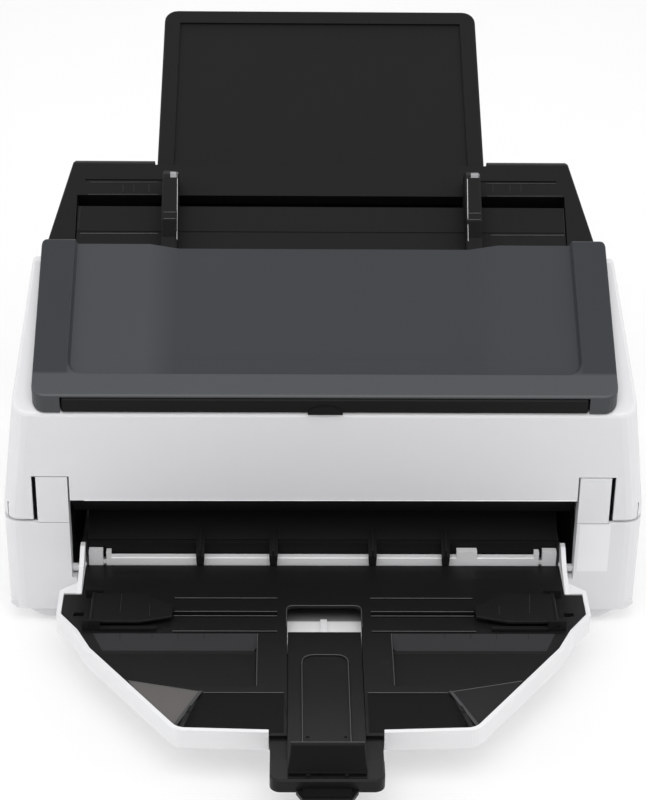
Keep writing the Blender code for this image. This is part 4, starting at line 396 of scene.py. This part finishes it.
def glassy(name):
    """Scan glass with a faint green tint, over a dark inside."""
    material, tree, shader = new_material(name)
    haze = add_node(tree, "ShaderNodeTexNoise", Scale=haze_scale, Detail=haze_detail)
    tree.links.new(object_place(tree), haze.inputs["Vector"])
    vary_gloss(tree, shader, haze.outputs["Fac"], glass_roughs)
    shader.inputs["Base Color"].default_value = (*glass_colour, 1)
    shader.inputs["IOR"].default_value = glass_index
    shader.inputs["Coat Weight"].default_value = glass_coat
    return material


def circuit(name):
    """Lacquered circuit board with copper tracks under the lacquer."""
    material, tree, shader = new_material(name)
    tracks = add_node(tree, "ShaderNodeTexBrick", Scale=track_scale)
    tracks.inputs["Color1"].default_value = (*board_colour, 1)
    tracks.inputs["Color2"].default_value = (*[part * board_dark_share for part in board_colour], 1)
    tracks.inputs["Mortar"].default_value = (*track_colour, 1)
    tree.links.new(object_place(tree), tracks.inputs["Vector"])
    tree.links.new(tracks.outputs["Color"], shader.inputs["Base Color"])
    shader.inputs["Roughness"].default_value = board_rough
    return material


def window_floor(name):
    """Painted shade on the tray floor seen through the bed's window: dark at the rear, pale in front."""
    material, tree, shader = new_material(name)
    parts = add_node(tree, "ShaderNodeSeparateXYZ")
    tree.links.new(object_place(tree), parts.inputs[0])
    depth = map_range(tree, parts.outputs["Y"], (tray_axis.y - shade_rear, tray_axis.y - shade_front))
    ramp = add_node(tree, "ShaderNodeValToRGB")
    stops = ramp.color_ramp.elements
    stops.remove(stops[0])
    for number, (share, tone) in enumerate(window_shades):
        stop = stops.new(share) if number else stops[0]
        stop.position = share
        stop.color = (tone, tone, tone, 1)
    tree.links.new(depth, ramp.inputs["Fac"])
    tree.links.new(ramp.outputs["Color"], shader.inputs["Base Color"])
    shader.inputs["Roughness"].default_value = window_rough
    return material


def painted_sheen_map(material):
    """Sheen of the top cover, part real polish and part painted reflection: strong on its front strip and in its
    side wells, more in the left well than the right, weak on its frame.
    """
    tree = material.node_tree
    parts = add_node(tree, "ShaderNodeSeparateXYZ")
    tree.links.new(object_place(tree), parts.inputs[0])
    across = parts.outputs["X"]
    distance = add_node(tree, "ShaderNodeMath", operation="ABSOLUTE")
    tree.links.new(across, distance.inputs[0])

    def mixed(share, first, second):
        node = add_node(tree, "ShaderNodeMix", data_type="FLOAT")
        first_socket, second_socket = mix_numbers
        tree.links.new(share, node.inputs[0])
        tree.links.new(first, node.inputs[first_socket])
        node.inputs[second_socket].default_value = second
        return node.outputs[mix_number_result]

    left_well = map_range(tree, across, (-well_outer, -well_inner), (left_well_sheen, middle_sheen))
    right_well = map_range(tree, across, (well_inner, well_outer), (middle_sheen, right_well_sheen))
    wells = add_node(tree, "ShaderNodeMath", operation="MAXIMUM")
    tree.links.new(left_well, wells.inputs[0])
    tree.links.new(right_well, wells.inputs[1])
    frame_share = map_range(tree, distance.outputs[0], (frame_inner, frame_outer))
    framed = mixed(frame_share, wells.outputs[0], frame_sheen)
    strip_share = map_range(tree, parts.outputs["Y"], (strip_front, strip_rear), (1, 0))
    whole = mixed(strip_share, framed, strip_sheen)
    tree.links.new(whole, tree.nodes["Principled BSDF"].inputs["Specular IOR Level"])


finishes = {name: moulded(name, *look) for name, look in moulded_looks.items()}
for name, look in metal_looks.items():
    finishes[name] = metal(name, *look)
for name, make in (("scan_glass", glassy), ("window_floor", window_floor), ("circuit_board", circuit)):
    finishes[name] = make(name)
# Specular level set by place: painted reflection on the top cover
painted_sheen_map(finishes["top_cover_plastic"])

slots = {entry["node"]: entry["material_slot"] for entry in frame["record"]["subparts"]}
for name, node in nodes.items():
    node.data.materials.clear()
    node.data.materials.append(finishes[node_finishes.get(name, slot_finishes[slots[name]])])


# Making of the small trim

@functools.cache
def surface_of(node):
    """Search tree over a CAD node's faces, in the row frame at rest."""
    mesh = nodes[node].data
    return BVHTree.FromPolygons([v.co for v in mesh.vertices], [p.vertices for p in mesh.polygons])


def add_piece(name, mesh, body, finish):
    """Piece of trim that moves with a body."""
    piece = bpy.data.objects.new(name, mesh)
    bpy.context.collection.objects.link(piece)
    mesh.materials.append(finishes[finish])
    for face in mesh.polygons:
        face.use_smooth = True
    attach(piece, body)


def bead(name, body, finish, points, radius):
    """Fine rounded edge along a path."""
    curve = bpy.data.curves.new(name, "CURVE")
    curve.dimensions = "3D"
    curve.bevel_depth = radius
    curve.bevel_resolution = 1
    spline = curve.splines.new("POLY")
    spline.points.add(len(points) - 1)
    for point, place in zip(spline.points, points):
        point.co = (*place, 1)
    carrier = bpy.data.objects.new(name + "_path", curve)
    mesh = bpy.data.meshes.new_from_object(carrier)
    bpy.data.objects.remove(carrier)
    add_piece(name, mesh, body, finish)


def spread(corners, steps):
    """Grid of points between four corners, row by row."""
    across, along = steps
    first, second, third, fourth = [Vector(corner) for corner in corners]
    for j in range(along + 1):
        left = first.lerp(fourth, j / along)
        right = second.lerp(third, j / along)
        for i in range(across + 1):
            yield left.lerp(right, i / across)


def skin(name, body, finish, points, steps):
    """Sheet through a grid of points, open where a point is missing."""
    across, along = steps
    row = across + 1
    starts = [j * row + i for j in range(along) for i in range(across)]
    faces = [(start, start + 1, start + row + 1, start + row) for start in starts]
    kept = [face for face in faces if all(points[index] for index in face)]
    used = sorted({index for face in kept for index in face})
    number = {index: place for place, index in enumerate(used)}
    corners = [points[index] for index in used]
    mesh = bpy.data.meshes.new(name)
    mesh.from_pydata(corners, [], [[number[index] for index in face] for face in kept])
    add_piece(name, mesh, body, finish)


def patch(name, node, body, finish, corners, steps, toward=down, lift=skin_lift, flat=False):
    """Thin skin between four corners, laid on a CAD node along a direction or kept flat over it."""
    points = []
    for spot in spread(corners, steps):
        hit = surface_of(node).ray_cast(spot - toward * skin_reach, toward, 2 * skin_reach)[0]
        points.append(hit and (spot if flat else hit) - toward * lift)
    skin(name, body, finish, points, steps)


def seen(node, place, lift=0.0):
    """Point of a CAD node that the camera sees at a pixel, or None."""
    across = (place[0] - photo_width / 2) / photo_height + shift_across
    up = 1 / 2 - place[1] / photo_height
    ray = camera.matrix_world.to_3x3() @ Vector((across * sensor_height, up * sensor_height, -lens_length))
    ray.normalize()
    hit = surface_of(node).ray_cast(camera.location, ray)[0]
    return hit and hit - ray * lift


def seen_line(name, node, body, finish, ends, radius, steps=line_steps):
    """Fine edge on a CAD node between two pixels."""
    start, end = [Vector(place) for place in ends]
    points = [seen(node, start.lerp(end, step / steps)) for step in range(steps + 1)]
    bead(name, body, finish, [point for point in points if point], radius)


def seen_patch(name, node, body, finish, ends, steps):
    """Thin skin on a CAD node inside a box of pixels."""
    (left, top), (right, bottom) = ends
    corners = [(left, top), (right, top), (right, bottom), (left, bottom)]
    skin(name, body, finish, [seen(node, place, skin_lift) for place in spread(corners, steps)], steps)


def tray(x, forward, lift=0.0):
    """Point on the stacker's bed: across, forward of its pivots, above its top."""
    return tray_axis + Vector((x, -forward, lift))


def rounded(corners, radius):
    """Path through the corners with arcs of one radius at the inner ones."""
    path = [corners[0]]
    for before, corner, after in zip(corners, corners[1:], corners[2:]):
        start = corner + (before - corner).normalized() * radius
        end = corner + (after - corner).normalized() * radius
        for step in range(arc_steps + 1):
            share = step / arc_steps
            path.append(start.lerp(corner, share).lerp(corner.lerp(end, share), share))
    path.append(corners[-1])
    return path


# Pieces of trim

def trim_tray_side(side, sign):
    """Edges with painted highlights, size band with painted light, marks, and facets and wings with painted light
    and shade on one half of the stacker's bed.
    """
    def at(x, forward, lift=0.0):
        return tray(sign * x, forward, lift)

    # Thin bead painted light grey: a painted highlight along the edge
    def edge(name, *points):
        bead(name, "stacker", "painted_edge_highlight", points, fine_edge)

    def facing(name, finish, corners, steps, **options):
        patch(name, "stacker_bed", "stacker", finish, corners, steps, **options)

    for number, place in enumerate(rail_places):
        edge(f"tray_rail_edge_{side}_{number + 1}",
             at(rail_inner, place, rail_height), at(rail_outer, place, rail_height))
    edge(f"tray_panel_edge_{side}", at(panel_inner, panel_rear), at(panel_inner, panel_front))
    edge(f"tray_facet_edge_{side}", at(facet_inner, facet_rear), at(facet_bend, facet_rear))
    edge(f"tray_wing_edge_{side}",
         at(wing_bend, facet_rear, wing_lift), at(wing_outer, wing_rear, wing_lift))
    # Band painted lighter where light falls on its sloped wall
    facing(f"tray_painted_light_band_{side}", "band_painted_light",
           [at(panel_inner, panel_rear), at(band_outer_rear, panel_rear),
            at(band_outer_front, band_front), at(panel_inner, band_front)], band_steps)
    for number, place in enumerate(tick_places):
        far_place = place + tick_width
        tick_front = panel_rear + tick_length
        facing(f"tray_tick_{side}_{number + 1}", "mark_ink",
               [at(place, panel_rear), at(far_place, panel_rear),
                at(far_place, tick_front), at(place, tick_front)], tick_steps, lift=mark_lift)
    # Left wing painted lit and right wing painted shaded: one surface with two painted tones
    facing(f"tray_wing_{side}", "wing_painted_light" if side == "left" else "wing_painted_shade",
           [at(wing_bend, facet_rear), at(wing_outer, wing_rear),
            at(wing_corner, wing_front, -wing_fall), at(wing_foot, wing_front, -wing_fall)],
           wing_steps, lift=wing_lift, flat=True)
    # Main facet painted darker than the bed: painted shade on its slope
    facing(f"tray_facet_{side}", "facet_painted_shade",
           [at(facet_inner, facet_rear), at(facet_bend, facet_rear),
            at(facet_foot, facet_front), at(facet_inner, facet_front)], facet_steps)
    # Painted highlight along the ridge between facet and wing
    facing(f"tray_ridge_{side}", "ridge_painted_highlight",
           [at(facet_bend, facet_rear), at(wing_bend, facet_rear),
            at(wing_foot, wing_front, -wing_fall), at(facet_foot, wing_front, -wing_fall)],
           ridge_steps, lift=ridge_lift, flat=True)


def trim_tray_middle():
    """Window of the stacker's bed with painted shade on the floor under it, and painted highlights along the edges
    of the window, the tongue and the stopper.
    """
    window = [tray(-window_half, window_front), tray(-window_half, window_rear),
              tray(window_half, window_rear), tray(window_half, window_front)]
    # Painted highlight along the window's edge
    bead("tray_window_edge", "stacker", "painted_edge_highlight", rounded(window, window_corner), fine_edge)
    shade = [tray(-shade_half, shade_rear, -shade_depth), tray(shade_half, shade_rear, -shade_depth),
             tray(shade_half, shade_front, -shade_depth), tray(-shade_half, shade_front, -shade_depth)]
    # Painted shade laid on the tray's floor under the window
    patch("tray_window_painted_shade", "stacker_tray", "stacker", "window_floor", shade, shade_steps)
    tongue = [tray(-tongue_half, tongue_front, tongue_sink), tray(-tongue_half, tongue_rear, tongue_sink),
              tray(tongue_half, tongue_rear, tongue_sink), tray(tongue_half, tongue_front, tongue_sink)]
    # Painted highlight along the tongue's edge
    bead("extension_tongue_edge", "stacker_extension", "painted_edge_highlight",
         rounded(tongue, tongue_corner), fine_edge)
    stopper_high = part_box("sheet_stopper")[1]
    stopper_edge = [Vector((x, stopper_high.y - fine_edge, stopper_high.z - fine_edge))
                    for x in (-stopper_half, stopper_half)]
    # Painted highlight along the stopper's top edge
    bead("stopper_top_edge", "stopper", "painted_edge_highlight", stopper_edge, fine_edge)


def trim_feeder_side(side):
    """Fine edges with painted highlights on one side of the hopper and its table, its guide and the stacker's
    paddle.
    """
    guide = f"hopper_guide_{side}"
    slider = f"guide_{side}"
    seen_patch(f"guide_cap_{side}", guide, slider, "cap_plastic", guide_caps[side], cap_steps)
    seen_line(f"guide_liner_{side}", guide, slider, "liner_film", guide_liners[side], fine_edge)
    left, right, first_row = guide_lines[side]
    for number in range(guide_line_count):
        row = first_row + number * guide_line_step
        # Painted highlights along the guide's lines
        seen_line(f"guide_line_{side}_{number + 1}", guide, slider, "painted_edge_highlight",
                  ((left, row), (right, row)), fine_edge)
    # Painted highlight along the table's edge
    seen_line(f"table_line_{side}", "hopper_table", "table", "painted_edge_highlight", table_lines[side], fine_edge)
    # Dimmer painted highlights along the table's sides, the slot and the shoulder
    seen_line(f"table_side_{side}", "hopper_table", "table", "dim_highlight_and_mark", table_sides[side], hair_edge)
    seen_line(f"slot_edge_{side}", "hopper_frame", "base", "dim_highlight_and_mark", slot_lines[side], fine_edge)
    seen_line(f"shoulder_edge_{side}", "hopper_frame", "base", "dim_highlight_and_mark", shoulder_lines[side], fine_edge)
    # Faint marks across the shoulder, in the same grey
    top, bottom = shoulder_tick_rows
    for number, place in enumerate(shoulder_ticks[side]):
        seen_line(f"shoulder_tick_{side}_{number + 1}", "hopper_frame", "base", "dim_highlight_and_mark",
                  ((place, top), (place, bottom)), hair_edge)
    # Dimmer painted highlights along the paddle's edges
    for number, line in enumerate(paddle_lines[side]):
        seen_line(f"paddle_line_{side}_{number + 1}", f"stacker_guide_paddle_{side}", f"paddle_{side}",
                  "dim_highlight_and_mark", line, hair_edge)


def trim_body():
    """Painted highlight along the lip of the feeder cover's shell, and the bare plate on the right pillar."""
    # Whiter bead along the shell's lower edge: a painted highlight
    seen_line("shell_lip", "cover_shell", "cover", "lip_painted_highlight", shell_lip, fine_edge, lip_steps)
    plate = [(label_inner, front_face, label_top), (label_outer, front_face, label_top),
             (label_outer, front_face, label_bottom), (label_inner, front_face, label_bottom)]
    patch("pillar_label", "side_cover_right", "base", "label_film", plate, label_steps, rearward)


# Floor, light and camera

def seen_rays(tree):
    """Socket that is 1 on rays from the camera and on mirrored or refracted ones, and 0 on the rest."""
    paths = add_node(tree, "ShaderNodeLightPath")
    direct = add_node(tree, "ShaderNodeMath", operation="MAXIMUM")
    tree.links.new(paths.outputs["Is Camera Ray"], direct.inputs[0])
    tree.links.new(paths.outputs["Is Glossy Ray"], direct.inputs[1])
    whole = add_node(tree, "ShaderNodeMath", operation="MAXIMUM")
    tree.links.new(direct.outputs[0], whole.inputs[0])
    tree.links.new(paths.outputs["Is Transmission Ray"], whole.inputs[1])
    return whole.outputs[0]


def mix_shaders(tree, share, first, second, target):
    """Two shaders mixed by a share, joined to an output's surface."""
    mixed = add_node(tree, "ShaderNodeMixShader")
    for source, socket in zip((share, first, second), mixed.inputs):
        tree.links.new(source, socket)
    tree.links.new(mixed.outputs[0], tree.nodes[target].inputs["Surface"])


def make_floor():
    """Pale floor that glows a little for the camera and keeps the object's shadow."""
    mesh = bpy.data.meshes.new("floor")
    corners = [(-floor_half, -floor_half, 0), (floor_half, -floor_half, 0),
               (floor_half, floor_half, 0), (-floor_half, floor_half, 0)]
    mesh.from_pydata(corners, [], [tuple(range(len(corners)))])
    floor = bpy.data.objects.new("floor", mesh)
    bpy.context.collection.objects.link(floor)
    material, tree, shader = new_material("floor")
    shader.inputs["Base Color"].default_value = (*floor_colour, 1)
    shader.inputs["Roughness"].default_value = floor_rough
    share = add_node(tree, "ShaderNodeMath", operation="MULTIPLY")
    tree.links.new(seen_rays(tree), share.inputs[0])
    share.inputs[1].default_value = floor_glow_share
    glow = add_node(tree, "ShaderNodeEmission")
    mix_shaders(tree, share.outputs[0], shader.outputs[0], glow.outputs[0], "Material Output")
    mesh.materials.append(material)


def make_world():
    """Even light from all sides, seen by the camera as white."""
    world = bpy.data.worlds.new("studio")
    bpy.context.scene.world = world
    world.use_nodes = True
    tree = world.node_tree
    back = tree.nodes["Background"]
    back.inputs["Color"].default_value = plain_white
    back.inputs["Strength"].default_value = world_strength
    seen_back = add_node(tree, "ShaderNodeBackground", Color=plain_white, Strength=1.0)
    mix_shaders(tree, seen_rays(tree), back.outputs[0], seen_back.outputs[0], "World Output")


def make_light(name, place, aim, size, power):
    """Rectangular lamp turned towards its aim."""
    data = bpy.data.lights.new(name, "AREA")
    data.shape = "RECTANGLE"
    data.size, data.size_y = size
    data.energy = power
    lamp = bpy.data.objects.new(name, data)
    lamp.location = place
    lamp.rotation_euler = (Vector(aim) - Vector(place)).to_track_quat("-Z", "Y").to_euler()
    bpy.context.collection.objects.link(lamp)


def make_camera():
    """Camera of the photograph's view."""
    data = bpy.data.cameras.new("photo_view")
    data.sensor_fit = "VERTICAL"
    data.sensor_height = sensor_height
    data.lens = lens_length
    data.shift_x = shift_across
    view = bpy.data.objects.new("photo_view", data)
    heading = Matrix.Rotation(-camera_turn, matrix_size, "Z")
    look = heading @ Matrix.Rotation(math.pi / 2 - camera_tilt, matrix_size, "X")
    back = look.to_3x3() @ Vector((0, 0, 1))
    up = look.to_3x3() @ Vector((0, 1, 0))
    target = Vector((0, front_face, target_height))
    place = target + back * target_distance + up * target_drop
    roll = Matrix.Rotation(camera_roll, matrix_size, "Z")
    view.matrix_world = Matrix.Translation(place) @ look @ roll
    bpy.context.collection.objects.link(view)
    bpy.context.scene.camera = view
    return view


camera = make_camera()
for side, sign in sides.items():
    trim_tray_side(side, sign)
trim_tray_middle()
for side in sides:
    trim_feeder_side(side)
trim_body()
make_floor()
make_world()
for name, lamp in lamps.items():
    make_light(name, *lamp)
bpy.context.scene.view_settings.view_transform = "Standard"
